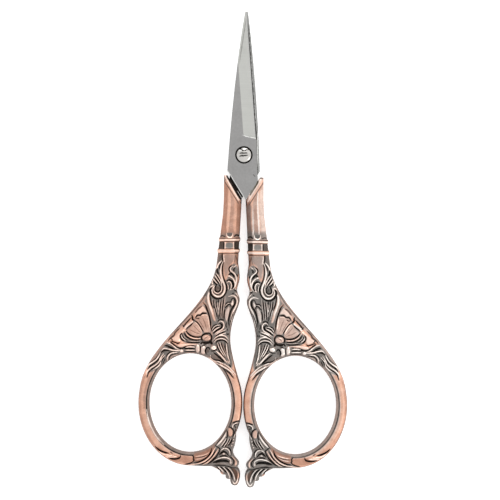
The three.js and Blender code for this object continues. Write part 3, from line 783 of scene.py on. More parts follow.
# The open flower: two broad petals, the rolled lips round them, a striped under-petal and the boss.
FLOWER = Motif("flower", (
    Pad("plate edge", (
        (204.4, 296), (196, 307), (186, 318.4), (176, 328.4), (166, 338.4), (159, 346), (161.6, 348.6),
        (168.6, 341), (178.4, 331), (188.4, 321), (198.4, 309.4), (206, 299.4),
    ), 0.0, 0.74, 1.2, 0.7),
    Pad("petal one", (
        (195, 319.4), (197.2, 315.8), (200.6, 315.2), (203, 313.7), (206.8, 314), (208.6, 317),
        (209.5, 324), (210.3, 331.5), (205, 332.6), (203.2, 331), (200.2, 326), (196.6, 321.6),
    ), 0.04, 0.8, 1.2),
    Pad("petal two", (
        (187, 330.5), (189.5, 327), (193, 322.8), (195.6, 321.8), (199.5, 326), (202.6, 331.6),
        (202, 335.2), (198, 336.4), (193, 335.7), (189, 333.4),
    ), 0.05, 0.8, 1.2),
    Pad("lip one", (
        (194.4, 316.4), (196.6, 310.6), (200.3, 306.8), (203.6, 305.6), (206.2, 309), (207.3, 312.4),
        (203, 312.3), (200.4, 314.4), (197, 314.6), (195.2, 317.4),
    ), 0.24, 0.96, 1.4, 0.72),
    Pad("lip two", (
        (183.6, 326.8), (188, 323.6), (192.6, 320.6), (193.2, 322.6), (189.2, 325.8), (187, 328.2),
        (185, 329),
    ), 0.22, 1.0, 1.0, 0.55),
    Pad("lip three", (
        (171, 338.8), (176.5, 334.3), (183, 329.3), (185.4, 330.6), (182.4, 332.6), (180.2, 335.4),
        (180.6, 338.6), (179, 341.8), (175, 341),
    ), 0.22, 0.97, 1.4, 0.75),
    Pad("under petal", (
        (184, 333), (187.5, 335.8), (192, 338.6), (198, 339.8), (201, 341), (197, 342), (188, 341.4),
        (183.6, 339.6), (181.6, 336.4),
    ), -0.06, 0.34, 0.9, 0.2),
    Pad("under leaf", (
        (177, 345.2), (182, 343.3), (190, 343), (198.6, 343.6), (195, 344.8), (187.5, 345.5),
        (182.5, 347), (179, 347),
    ), 0.18, 0.93, 1.0),
    Groove("flower side", (
        (203, 302.2), (205.7, 305.4), (207.6, 310.4), (209.2, 315.4), (210.4, 321), (211.1, 328.6),
    ), 1.7, 0.38),
    Ridge("petal side", ((207.6, 314.4), (208.8, 321), (209.6, 328)), 1.3, 0.14),
    Groove("lip fold", ((183.2, 326.6), (185.8, 323.4), (188.4, 320.6), (191.2, 317.4)), 1.7, 0.24, 0.12),
    Groove("low lip fold", (
        (179.8, 328), (175.4, 332.2), (174, 335.2), (170, 338.4), (168, 341.2),
    ), 2.0, 0.2, 0.28),
    Groove("high lip fold", ((202, 306), (198.2, 308.8), (195, 313)), 2.0, 0.14, 0.42),
    Groove("petal ruffle", (
        (195.4, 318.4), (196.2, 316.4), (197.8, 315.2), (200.4, 315), (202.4, 313.2), (204.6, 313.4),
        (206.8, 313),
    ), 1.3, 0.32),
    Ridge("ruffle lip", ((201, 316), (203, 314.8), (207, 314.6)), 1.1, 0.22),
    Groove("ruffle curl", ((196.2, 317.8), (197.8, 318.7), (199.8, 317.4)), 1.0, 0.22, 0.1),
    Groove("petal parting", (
        (194.2, 320.4), (197.4, 322.2), (200.4, 326.2), (202.6, 330), (203.7, 332),
    ), 1.2),
    Ridge("parting edge", ((194.6, 321.8), (197, 323.4), (199.8, 327.2), (202, 331.4)), 1.1, 0.16),
    Groove("lip notch", ((192.3, 316), (192.6, 318.8), (194.4, 320.2)), 2.0, 0.42),
    Groove("petal crown", ((193, 322.6), (190.5, 325.2), (188.2, 326.9), (185.8, 329.5)), 1.4),
    Groove("lip curl", ((183.2, 327.6), (184, 325.8), (186, 324.4)), 1.1, 0.24, 0.1),
    Groove("petal foot", (
        (186, 330.8), (189, 334), (193, 336.2), (198, 336.9), (202.2, 335.8),
    ), 1.4, 0.34),
    Ridge("flower rim", (
        (185.2, 331), (187.6, 334.8), (191.8, 337.5), (196.6, 338.4), (201.6, 338.2),
    ), 1.7, 0.34),
    Groove("rim shadow", (
        (183.9, 332), (186.2, 335.8), (190.6, 338.8), (195.6, 339.7), (201.2, 339.5),
    ), 1.2),
    Groove("petal vein one", ((198.6, 319.6), (201.5, 324), (204.6, 329.6)), 1.0, 0.03, 0.48),
    Groove("petal vein two", ((202.6, 317.6), (205, 323), (206.6, 329.4)), 1.0, 0.03, 0.52),
    Groove("petal vein three", ((189.5, 329.2), (195, 332.2), (200.6, 334)), 1.0, 0.03, 0.5),
    Groove("petal vein four", ((193.4, 325), (197.4, 329.4), (201, 333)), 1.0, 0.03, 0.52),
    Groove("boss ring", (
        (202.2, 340), (201.6, 336.8), (203.6, 334.2), (207, 333.1), (210, 333.6), (211.8, 336.4),
        (211.4, 340),
    ), 1.5, 0.36, taper=Taper.NONE),
    Groove("boss foot", (
        (202.2, 341.4), (205, 342.7), (208.4, 342.5), (211, 341.9), (211.8, 344),
    ), 2.4, 0.42),
    Groove("boss side", ((200.8, 344), (202.4, 341.6)), 1.6, 0.36),
    Groove("boss hollow", ((210.6, 341.2), (211.8, 343.4)), 2.6, 0.4, 0.0, Taper.NONE),
    Bead("boss", (206.6, 337.6), (4.7, 3.4), 0.46, 0.84),
    Groove("boss vein", ((204, 339.4), (206.2, 337.1), (208.8, 336.2)), 0.9, -0.3, 0.5),
), 0.77)

# The grey stripes under the flower, and the short cuts along the plate's edge.
STRIPES = Motif("stripes", (
    Ridge("stripe one", ((181.4, 334.8), (182.6, 337.6), (185.8, 340.2)), 1.2, 0.22),
    Groove("stripe line", ((182.4, 333.6), (183.7, 337), (187.2, 339.8)), 0.9, 0.22),
    Ridge("stripe two", ((183.4, 333.8), (185, 337), (189, 339.5)), 1.0, 0.16, 0.8),
    Groove("stripe shadow", ((182.4, 332.4), (180.5, 335.2), (181.6, 338.8), (184.6, 341.3)), 1.5, 0.36),
    Ridge("stripe three", ((188, 340.6), (194, 341.2), (200, 341)), 1.0, 0.14, 0.75),
    Groove("stripe foot", ((186, 341.7), (193, 342.3), (200.4, 342.2)), 1.2),
    Groove("plate outline", (
        (215, 269), (209.8, 282), (204.6, 296), (196.4, 307), (186.4, 318.4), (176.4, 328.6),
        (166.4, 338.6),
    ), 1.4, 0.04, 0.3, Taper.NONE),
    Groove("edge notch one", ((191.6, 314.6), (193.4, 317.6)), 1.4, 0.16, 0.06),
    Groove("edge notch two", ((182.6, 324.6), (184.8, 327)), 1.2, 0.14, 0.1),
    Groove("edge notch three", ((170.4, 337.4), (173, 340.2)), 1.4, 0.14, 0.08),
), 0.3)

# The bars, beads and strands that lie along the top of the finger bow.
BOW_TOP = Motif("bow top", (
    Pad("outer shoulder", (
        (165, 339), (156, 348.6), (148.6, 359), (145.4, 368), (149.6, 363.4), (156, 358.4), (160, 351),
        (164.4, 345),
    ), 0.0, 0.66, 1.0, 0.6),
    Groove("lip underside", ((170.6, 340.4), (174.6, 342), (178.2, 343.1), (180.2, 341.8)), 1.4, 0.3),
    Groove("bar shadow", (
        (176, 345.8), (179.4, 348), (183, 347.9), (187.5, 346.1), (194.8, 345),
    ), 1.5, 0.36),
    Ridge("bar one", ((185.6, 347.1), (190, 346.4), (194.6, 346.8)), 1.7),
    Groove("bar line one", ((182.8, 348), (189, 348.3), (195.2, 348.5)), 1.4, 0.36),
    Ridge("bar two", ((185.2, 349.7), (195.2, 349.9)), 1.4),
    Groove("bar line two", ((184.2, 351.1), (190, 351.3), (196, 351.3)), 1.3),
    Ridge("bar three", ((184.6, 352.5), (195.6, 352.5)), 1.0, 0.2, 0.75),
    Bead("strand bead", (181.8, 350.4), (2.0, 1.8), 0.38, 1.0),
    Bead("cushion", (198, 348.3), (2.4, 4.4), 0.3, 0.92),
    Bead("scroll body", (203.6, 349.6), (3.0, 4.6), 0.3, 0.92),
    Groove("cushion line", ((200.4, 345.4), (200.5, 352.6)), 1.2),
    Groove("body crown", ((202.2, 346.2), (203.8, 344.8), (206.4, 344.4)), 1.0),
    Groove("hollow ring", (
        (206.4, 354), (205.5, 350.6), (206.6, 348), (208.6, 347.3), (210, 349.6),
    ), 1.6, 0.42),
    Bead("hollow", (207.8, 350.6), (1.6, 1.9), -0.1, 0.36),
    Bead("pearl", (213.8, 347.4), (3.2, 2.4), 0.4, 0.96),
    Groove("pearl foot", ((210.4, 350.6), (213.6, 350.7), (217, 349)), 1.2),
    Ridge("hair one", ((166.6, 342.6), (170, 343.3), (173.4, 345.6), (176.6, 348), (180, 349.3)), 1.5),
    Groove("hair line one", ((169.8, 341.2), (173, 343.4), (176.6, 346.2)), 1.3),
    Groove("hair lens", ((164.8, 345.2), (168, 345.9), (171.5, 347.5), (175.2, 349.4)), 1.9, 0.4),
    Ridge("hair two", (
        (161.4, 350.8), (164, 348.4), (168, 348.5), (173, 349.9), (178, 350.3), (181, 349.9),
    ), 1.7),
    Groove("hair line two", ((160.6, 352.8), (163, 350.7), (166.5, 350.1), (170.4, 351)), 1.4),
    Ridge("hook hair", ((177.5, 352), (172.5, 352.4), (169.4, 354.2), (167.6, 357.2), (167.6, 361)), 1.4),
    Groove("hook line", ((176.5, 351.2), (171.6, 351.6), (168.2, 353.4), (166.2, 356.8)), 1.0),
    Groove("inner hook line", ((178.4, 353.3), (172.8, 354), (170, 356.1), (169, 359.6)), 1.2),
    Ridge("inner hook hair", ((179, 354.5), (174, 355.3), (171.2, 357.1), (170, 360)), 1.0, 0.22, 0.85),
    Ridge("long hair one", (
        (161, 351.6), (159.4, 355), (157, 358.8), (153, 362), (149.4, 364.6), (147, 368),
    ), 1.6),
    Groove("long line one", (
        (160.4, 355.2), (158.4, 359), (154.6, 362.7), (150.6, 365.7), (147.8, 369),
    ), 1.5),
    Ridge("long hair two", (
        (163.8, 353.4), (161, 357.4), (159, 361.6), (155.2, 365), (150.6, 368), (147.6, 371.6),
        (147.2, 374.8),
    ), 1.7),
    Groove("long line two", (
        (163, 356), (160.6, 361.4), (157, 365.4), (152, 368.9), (148.8, 371.8),
    ), 1.1),
    Ridge("long hair three", (
        (165.4, 354.6), (162.4, 358), (161, 362), (158.6, 365.6), (153, 369.8),
    ), 1.3),
    Groove("short line one", ((164.4, 356.6), (162.2, 360), (161.6, 363)), 1.3),
    Groove("short line two", ((165.5, 358.2), (164, 361.4), (163, 363.8)), 1.3),
    Groove("hair tip", ((151, 369.6), (148.6, 372.8), (147.2, 377.4)), 1.3, 0.2, 0.04),
    Groove("outer line", ((159.4, 352.4), (156, 357.8), (151.6, 361.4), (148.6, 363.6)), 0.9, 0.15, 0.15),
    Ridge("shoulder band", (
        (208.2, 356.6), (213, 360.9), (219, 364), (225.5, 367.3), (231, 371.4), (235.6, 376.4),
    ), 1.7),
    Groove("shoulder line", ((210, 360.7), (216, 364), (222, 367), (228, 370.9), (233.6, 376.8)), 1.2),
    Ridge("shoulder strand", ((224, 363.6), (228, 366), (232, 369.6), (236.4, 375)), 1.6),
    Groove("shoulder mark", ((229.5, 364.4), (230.8, 366.6)), 1.4),
    Groove("shoulder crease", ((224.4, 369.4), (229.5, 373.2), (234.2, 378.6)), 1.1, 0.2, 0.05),
))

# The cuts along the bottom of the bow, and the feather that winds up into the foot.
BOW_FOOT = Motif("bow foot", (
    # The bottom of the bow is painted darker, as painted shade where its rounded section turns from the
    # light.
    Pad("bow sole", (
        (158, 446), (172, 453.6), (192, 455.4), (193, 462.6), (176, 461.4), (160, 454),
    ), 0.0, 0.74, 1.6, 1.0),
    Pad("feather ground", (
        (194.4, 453), (203, 450.8), (210.6, 447), (214.6, 444), (214, 449), (208.6, 456), (200, 460.6),
        (194.6, 460.4),
    ), 0.0, 0.6, 1.0, 0.95),
    Groove("comma one", ((155.2, 445.8), (159.4, 449.2), (164, 451.4), (169, 452.6)), 2.0, 0.36),
    Ridge("comma lip one", ((158.4, 450.4), (163, 453.2), (168.5, 454.7), (174, 455)), 1.4, 0.16),
    Groove("comma two", (
        (168.6, 457.3), (172.5, 458.2), (177, 458.1), (180, 456.8), (180.8, 454.6),
    ), 2.0, 0.36),
    Ridge("comma lip two", ((165.6, 455.6), (171, 456.4), (177, 456)), 1.3, 0.14),
    Groove("comma fleck", ((170, 450.9), (172.8, 452.9)), 1.1, 0.16, 0.15),
    Groove("feather end", (
        (192.1, 454.6), (193.7, 456.4), (193.4, 458.4), (194.2, 459.6), (192.2, 461.4),
    ), 1.4),
    Groove("feather tail", ((185, 463.7), (190, 462.6), (193.4, 461)), 1.5),
    Ridge("tail edge", ((184.6, 464.9), (190, 464.3), (196, 463.4)), 1.0, 0.16),
    Groove("bottom line", ((188, 465.2), (199, 465.5), (212, 465.5)), 1.1, 0.2, 0.05),
    Ridge("feather vane one", (
        (195.4, 455.8), (201, 455.2), (206, 453.7), (209.6, 451.4),
    ), 1.1, 0.12, 0.9),
    Groove("vane line", ((195.4, 457.1), (202, 456.3), (207.6, 454.1)), 0.8, 0.12, 0.2),
    Ridge("feather vane two", ((195.4, 458.7), (201.5, 457.7), (206.6, 455.6)), 1.1, 0.12, 0.85),
    Groove("midrib", (
        (193.8, 461.9), (199, 461.2), (204, 459), (208.4, 455.6), (210.8, 451.4), (211.8, 447.8),
    ), 1.8, 0.38),
    Ridge("ribbon one", (
        (196.2, 463.3), (202, 461.8), (207, 458.7), (211.2, 454.4), (213.8, 449.6), (215.8, 446.6),
    ), 1.8),
    Groove("ribbon line one", (
        (199, 464.1), (204.4, 462.3), (209.4, 458.8), (213.2, 454.2), (216.2, 448.8),
    ), 1.1),
    Ridge("ribbon two", ((203, 463.9), (208, 461.4), (212.6, 457.4), (216, 452.6), (218.6, 447.8)), 1.6),
    Groove("ribbon line two", (
        (207, 463.9), (212, 460.6), (216.4, 456), (219.4, 450.8), (220.4, 447.4),
    ), 1.6, 0.38),
), 0.75)

# The leaf at the foot of the handle: a petal, a small scroll, a dark wing and the feathered tip.
FOOT = Motif("foot", (
    Groove("foot collar", ((233, 422), (236, 421), (240, 420.3)), 1.3, taper=Taper.NONE),
    Ridge("collar arch", ((232.6, 427.8), (233, 424.6), (235.6, 422.7), (239, 422.2)), 1.3),
    Groove("arch slot", ((233.9, 426.8), (235, 424.2), (237.6, 423.6)), 0.9, 0.25),
    Groove("arch eye", ((234.8, 426.5), (236.3, 426.7)), 1.5),
    Groove("arch side", ((238.5, 424.2), (238.5, 427.4), (236.8, 431)), 1.2),
    Ridge("outer strand", ((237.4, 427.4), (236.2, 431), (234.8, 434.6), (233.8, 437.4)), 1.1, 0.14, 1.0),
    Groove("outer strand line", ((236, 427.6), (235.2, 431.4), (234, 435)), 1.0, 0.2, 0.0),
    Pad("foot petal", (
        (228.6, 427.6), (230.8, 427.4), (233, 430), (232.8, 434), (230.6, 436.4), (228.4, 435),
        (227.8, 431),
    ), 0.2, 0.82, 1.1, 0.85),
    Groove("petal right", (
        (228.6, 426.2), (231.6, 427.5), (233.8, 430.4), (233.8, 434), (232.4, 436.8),
    ), 1.4),
    Groove("petal left", ((226.6, 428.6), (227.6, 432), (227.4, 435.6), (225.8, 439)), 1.3),
    Ridge("edge band", ((226.4, 431.6), (224.4, 436), (221.2, 440.6), (216.8, 445.2)), 1.8, 0.32),
    Groove("edge line", ((226.2, 429.6), (223.2, 435), (219.4, 440.2), (215.4, 444.9)), 1.2),
    Ridge("strand one", ((226.4, 437.4), (224, 441.6), (220.6, 446.2)), 1.4, 0.26, 0.9),
    Groove("strand line one", ((227.2, 438.6), (224.6, 443), (221.6, 447)), 1.1),
    Ridge("strand two", ((228.8, 437.6), (226.8, 442), (223.4, 446.6)), 1.3, 0.26, 0.85),
    Groove("strand line two", ((229.8, 438.8), (227.8, 443), (224.8, 447)), 1.1),
    Ridge("strand three", ((231.2, 437.6), (229.4, 441.6), (226.4, 446)), 1.2, 0.26, 0.85),
    Groove("strand line three", ((232.4, 438.2), (230.4, 442.4), (228.2, 445.2)), 1.3),
    Bead("pearl one", (233.4, 439.2), (1.0, 1.0)),
    Bead("pearl two", (232.9, 442.2), (1.0, 1.0)),
    Bead("pearl three", (231.7, 445.2), (1.0, 1.0)),
    Groove("strand foot", ((215.8, 445), (219, 447.6), (220.6, 450)), 1.3),
    Ridge("small scroll", (
        (220.6, 450.2), (223, 448.4), (227, 448.2), (229.4, 450.6), (230.2, 454.4),
    ), 1.7, 0.34),
    Groove("scroll side", ((226.8, 446.8), (229.9, 448.6), (231, 451.6), (230.6, 455.4)), 1.2),
    Groove("scroll arch", (
        (219.4, 454.8), (221.6, 452), (224, 451), (226.4, 452.4), (228.8, 455.6),
    ), 1.5, 0.38),
    Bead("scroll bead", (223.7, 453.3), (1.8, 1.2), 0.3, 0.85),
    Groove("bead foot", ((218.6, 457.7), (221.6, 455.7), (224.6, 455.3), (227.8, 456.1)), 1.3),
    Ridge("wing rim", (
        (214.4, 460), (218.6, 458), (223.2, 457), (227.4, 457.4), (230.6, 459.4), (231.2, 462.6),
    ), 1.7, 0.32),
    Groove("wing slot", (
        (213.2, 462.2), (218, 460.7), (223, 460.3), (227, 460.7), (229.2, 462),
    ), 2.9, 0.46),
    Ridge("wing foot", ((214.6, 463.7), (220, 463.2), (226, 463.6)), 1.2, 0.1, 0.5),
    Bead("wing knob", (230.6, 462), (1.5, 2.1), 0.34, 0.85),
    Groove("lobe line", (
        (228.6, 455.4), (231.6, 457.6), (233.6, 460), (233.2, 463.4), (231.2, 465.4),
    ), 1.3),
    Pad("outer lobe", (
        (231.4, 455.8), (234.6, 457.4), (237, 460.6), (236.6, 464.6), (234.4, 465.4), (234.8, 461),
        (233, 458),
    ), 0.16, 0.92, 0.9, 0.8),
    Groove("feather root", (
        (212.6, 464.9), (220, 465), (227, 465.7), (232.6, 467.4), (236.6, 467.5), (238.6, 469.8),
    ), 1.3),
    Groove("plume line", ((216, 466), (219.2, 468.6), (221.8, 472)), 1.3),
    Ridge("plume one", ((218, 466.2), (221, 468.4), (223.8, 471.8)), 1.1, 0.24, 1.0),
    Groove("plume line one", ((220, 466), (223.6, 468.6), (226.8, 472.6)), 1.6),
    Ridge("plume two", ((222.6, 466.4), (226.4, 469.6), (229, 474), (229.6, 477.8)), 1.1, 0.26, 1.0),
    Groove("plume line two", ((225, 466.4), (229, 470), (231.4, 474.6), (232.4, 479.2)), 1.7, 0.34),
    Ridge("plume three", ((227.8, 466.8), (231.4, 470.4), (233.8, 475), (235, 481)), 1.2, 0.3),
    Groove("plume line three", ((230.6, 467.4), (233.6, 471), (235.6, 475.6), (236.4, 479.6)), 1.2, 0.3),
    Pad("plume hollow", (
        (231.6, 467.6), (235.6, 469), (237.6, 473.6), (236.6, 480), (235, 476), (233.4, 471.4),
    ), -0.2, 0.3, 0.8, 0.9),
    Pad("tip", (
        (237, 469.6), (239.2, 473), (239.2, 477.6), (237.2, 482), (235.4, 483.8), (236.6, 478.6),
        (237.4, 473.6),
    ), 0.16, 0.9, 1.0, 0.9),
    Ridge("tip rim", ((232.6, 480.4), (234.4, 483), (236.6, 481.2), (238.2, 477.4)), 1.2, 0.24),
), 0.25)

# The finger bow's opening on the photograph, with its sloped rim, which is paler on the right handle, and a
# painted highlight along the left bow's lower side.
BOW_RIM = BowRim("bow rim", (190.46, 402.55), (40.94, 49.31), 2.9, 1.0)
LEFT_RIM = Motif("left rim", (
    BOW_RIM,
    Ridge("bow gleam", (
        (147, 408.6), (148.6, 417.8), (151.8, 426.7), (157, 436), (164.4, 444.3),
    ), 1.5, 0.0, 1.0),
), 0.14, Side.LEFT)
RIGHT_RIM = Motif("right rim", (replace(BOW_RIM, tone=0.66, line_tone=0.25),), 0.14, Side.RIGHT)

# The left bow is painted darker along its upper inner side, and the right one has a painted highlight along
# its middle.
LEFT_BOW = Motif("left bow", (
    Groove("inner dusk", ((153, 371.2), (147.8, 382.6), (145, 394.5), (144.7, 406.6)), 3.0, 0.0, 0.72),
), 0.8, Side.LEFT)
RIGHT_BOW = Motif("right bow", (
    Ridge("bow light", (
        (147.2, 377.6), (143.5, 390), (142.2, 402.5), (143.5, 415.1), (147.2, 427.5), (153.8, 439.2),
    ), 1.8, 0.0, 0.92),
), 0.95, Side.RIGHT)

# Painted shade along the bow's outer side, and painted shade with a reddish painted reflection where the two
# bows nearly touch.
BOW_SIDES = Motif("bow sides", (
    Groove("bow dusk", (
        (144.6, 376), (140.6, 389.2), (139.2, 402.5), (140.6, 415.9), (144.6, 429), (151.7, 441.3),
        (160.4, 450.7),
    ), 5.0, 0.0, 0.74),
    Pad("meeting side", (
        (238.6, 376), (240.4, 388), (240.8, 402), (239.6, 416), (243, 416), (244.4, 402), (243.8, 388),
        (242, 376),
    ), 0.0, 0.64, 1.6),
), 1.0)

# The order in which the ornaments are cut.
ORNAMENTS = (
    LEFT_RIM, RIGHT_RIM, BOW_SIDES, LEFT_BOW, RIGHT_BOW, GROUNDS, SHANK, MOUTH, LEFT_SEAT, RIGHT_GLEAM,
    COLLARS, LEAF_AND_RIBS, HOOK, CURLS, SCROLL, FAN, FLOWER, STRIPES, BOW_TOP, BOW_FOOT, FOOT,
)

# Places of the sockets that a colour mix uses, which share their names with the other kinds of mix.
MIX_FIRST = 6
MIX_SECOND = 7
MIX_RESULT = 2

# Tints of the lines on the steel: black, for grime and painted shade; a pale painted highlight; and a dull
# olive painted reflection.
GRIME_AND_SHADE_TINT = (0.02, 0.018, 0.016)
GLEAM = (0.9, 0.9, 0.87)
OLIVE_REFLECTION_TINT = (0.14, 0.12, 0.075)


@dataclass(frozen=True)
class GrimeAndLightLine:
    """A dark or bright line on the steel, seen from above, in millimetres from the pivot: grime, a nick,
    painted shade, a painted highlight or a painted reflection.

    Args:
        start: One end.
        end: The other end.
        width: Its width.
        share: How strongly its tint covers the steel.
        tint: Its colour.
        ragged: Waves of its ragged edge in a width.
        drift: Widths by which the edge wanders to each side.
        ends: Shares of the length, from its middle, where it is gone and where it is full.
        sides: The same of the width.
    """

    start: Point
    end: Point
    width: float
    share: float
    tint: Colour = GRIME_AND_SHADE_TINT
    ragged: float = 0.5
    drift: float = 0.8
    ends: Point = (0.5, 0.3)
    sides: Point = (0.8, 0.3)


@dataclass
class NodeBoard:
    """A material's node tree with short calls to add and join nodes.

    Args:
        material: The material, whose nodes are replaced.
    """

    material: bpy.types.Material

    def __post_init__(self) -> None:
        """Empty the tree and put in the surface shader and its output."""
        self.material.use_nodes = True
        self.tree = self.material.node_tree
        self.tree.nodes.clear()
        self.shader = self.add("ShaderNodeBsdfPrincipled", {})
        self.add("ShaderNodeOutputMaterial", {"Surface": self.shader.outputs["BSDF"]})

    def add(
        self, kind: str, joins: Mapping[str | int, Socket], values: Mapping[str | int, object] | None = None,
        **options: object,
    ) -> bpy.types.Node:
        """Add a node.

        Args:
            kind: The node's type.
            joins: Outputs of other nodes, each by the input that it goes to.
            values: Constants, each by its input.
            options: Settings of the node itself.

        Returns:
            The node.
        """
        node = self.tree.nodes.new(kind)
        for option, value in options.items():
            setattr(node, option, value)
        for entry, value in (values or {}).items():
            node.inputs[entry].default_value = value
        for entry, start in joins.items():
            self.join(start, node.inputs[entry])
        return node

    def join(self, start: Socket, end: Socket) -> None:
        """Join an output to an input."""
        self.tree.links.new(start, end)

    def place(self) -> Socket:
        """Give the object's own coordinates."""
        return self.add("ShaderNodeTexCoord", {}).outputs["Object"]

    def attribute(self, name: str) -> Socket:
        """Read a value that is stored on the mesh."""
        return self.add("ShaderNodeAttribute", {}, attribute_name=name).outputs["Fac"]

    def streaks(self, scale: tuple[float, float, float], detail: float) -> Socket:
        """Add noise stretched along the object's axes.

        Args:
            scale: Noise scale along each axis, per metre.
            detail: Octaves.

        Returns:
            The noise from 0 to 1.
        """
        stretched = self.add("ShaderNodeMapping", {"Vector": self.place()}, {"Scale": scale})
        joins = {"Vector": stretched.outputs["Vector"]}
        return self.add("ShaderNodeTexNoise", joins, {"Scale": 1.0, "Detail": detail}).outputs["Fac"]

    def mottle(self, grain: float, detail: float, swing: float) -> Socket:
        """Add even noise, with a grain per metre, that swings to both sides of 0."""
        return self.between(self.streaks((grain, grain, grain), detail), -swing, swing)

    def ramp(self, fac: Socket, stops: tuple[tuple[float, Colour], ...]) -> Socket:
        """Turn a value into a colour.

        Args:
            fac: The value.
            stops: Places and linear colours.

        Returns:
            The colour.
        """
        node = self.add("ShaderNodeValToRGB", {"Fac": fac})
        ends = node.color_ramp.elements
        while len(ends) < len(stops):
            ends.new(0.5)
        for end, (place, colour) in zip(ends, stops):
            end.position = place
            end.color = (*colour, 1.0)
        return node.outputs["Color"]

    def between(self, fac: Socket, low: float, high: float) -> Socket:
        """Map a value from 0 to 1 onto the range from low to high."""
        node = self.add("ShaderNodeMapRange", {"Value": fac}, {"To Min": low, "To Max": high})
        return node.outputs["Result"]

    def share(self, value: Socket, start: float, end: float) -> Socket:
        """Map a value onto 0 to 1, with 0 at the start and 1 at the end."""
        node = self.add("ShaderNodeMapRange", {"Value": value}, {"From Min": start, "From Max": end})
        return node.outputs["Result"]

    def sum(self, first: Socket, second: Socket) -> Socket:
        """Add two values and keep the result between 0 and 1."""
        node = self.add("ShaderNodeMath", {0: first, 1: second}, operation="ADD", use_clamp=True)
        return node.outputs["Value"]

    def blend(self, fac: Socket, first: Socket, second: Socket) -> Socket:
        """Mix two colours, with the value as the second one's share."""
        joins = {"Factor": fac, MIX_FIRST: first, MIX_SECOND: second}
        return self.add("ShaderNodeMix", joins, data_type="RGBA").outputs[MIX_RESULT]

    def tinted(self, fac: Socket, first: Socket, tint: Colour) -> Socket:
        """Lay a plain colour over another.

        Args:
            fac: Share of the plain colour.
            first: The colour under it.
            tint: The plain colour.

        Returns:
            The mixed colour.
        """
        joins = {"Factor": fac, MIX_FIRST: first}
        values = {MIX_SECOND: (*tint, 1.0)}
        return self.add("ShaderNodeMix", joins, values, data_type="RGBA").outputs[MIX_RESULT]

    def line(self, tone_mark: GrimeAndLightLine, pivot: Vector) -> Socket:
        """Mark a ragged straight line on the object, seen from above.

        Args:
            tone_mark: The line.
            pivot: The pivot in metres, which the line is placed from.

        Returns:
            1 on the line, falling to 0 at its sides and towards its ends.
        """
        start, end = (pivot.xy + Vector(corner) * MILLIMETRE for corner in (tone_mark.start, tone_mark.end))
        width = tone_mark.width * MILLIMETRE
        run = end - start
        middle = (start + end) / 2.0
        drift = tone_mark.drift * width
        place = self.place()
        ragged = self.add("ShaderNodeTexNoise", {"Vector": place}, {"Scale": tone_mark.ragged / width})
        wander = {0: ragged.outputs["Color"], 2: place}
        swing = {1: (2.0 * drift, 2.0 * drift, 0.0)}
        shifted = self.add("ShaderNodeVectorMath", wander, swing, operation="MULTIPLY_ADD")
        joins = {"Vector": shifted.outputs["Vector"]}
        laid = {
            "Location": (middle.x + drift, middle.y + drift, 0.0),
            "Rotation": (0.0, 0.0, math.atan2(run.y, run.x)),
        }
        turned = self.add("ShaderNodeMapping", joins, laid, vector_type="TEXTURE")
        axes = self.add("ShaderNodeSeparateXYZ", {"Vector": turned.outputs["Vector"]})
        sides = []
        for axis, size, (outer, inner) in (("X", run.length, tone_mark.ends), ("Y", width, tone_mark.sides)):
            away = self.add("ShaderNodeMath", {0: axes.outputs[axis]}, operation="ABSOLUTE")
            sides.append(self.share(away.outputs["Value"], outer * size, inner * size))
        both = self.add("ShaderNodeMath", {0: sides[0], 1: sides[1]}, operation="MULTIPLY")
        return both.outputs["Value"]

    def beyond(self, axis: Vector, radius: float, soft: float) -> Socket:
        """Mark what lies farther from an upright axis than a radius.

        Args:
            axis: A point of the axis, in metres.
            radius: The radius, in metres.
            soft: Metres over which the mark grows.

        Returns:
            0 inside and 1 outside.
        """
        level = {"Location": (-axis.x, -axis.y, 0.0), "Scale": (1.0, 1.0, 0.0)}
        away = self.add("ShaderNodeMapping", {"Vector": self.place()}, level)
        reach = self.add("ShaderNodeVectorMath", {0: away.outputs["Vector"]}, operation="LENGTH")
        return self.share(reach.outputs["Value"], radius, radius + soft)

    def bump(self, height: Socket, distance: float, strength: float) -> None:
        """Roughen the surface, where height 1 stands for a distance in metres."""
        node = self.add("ShaderNodeBump", {"Height": height}, {"Distance": distance, "Strength": strength})
        self.join(node.outputs["Normal"], self.shader.inputs["Normal"])


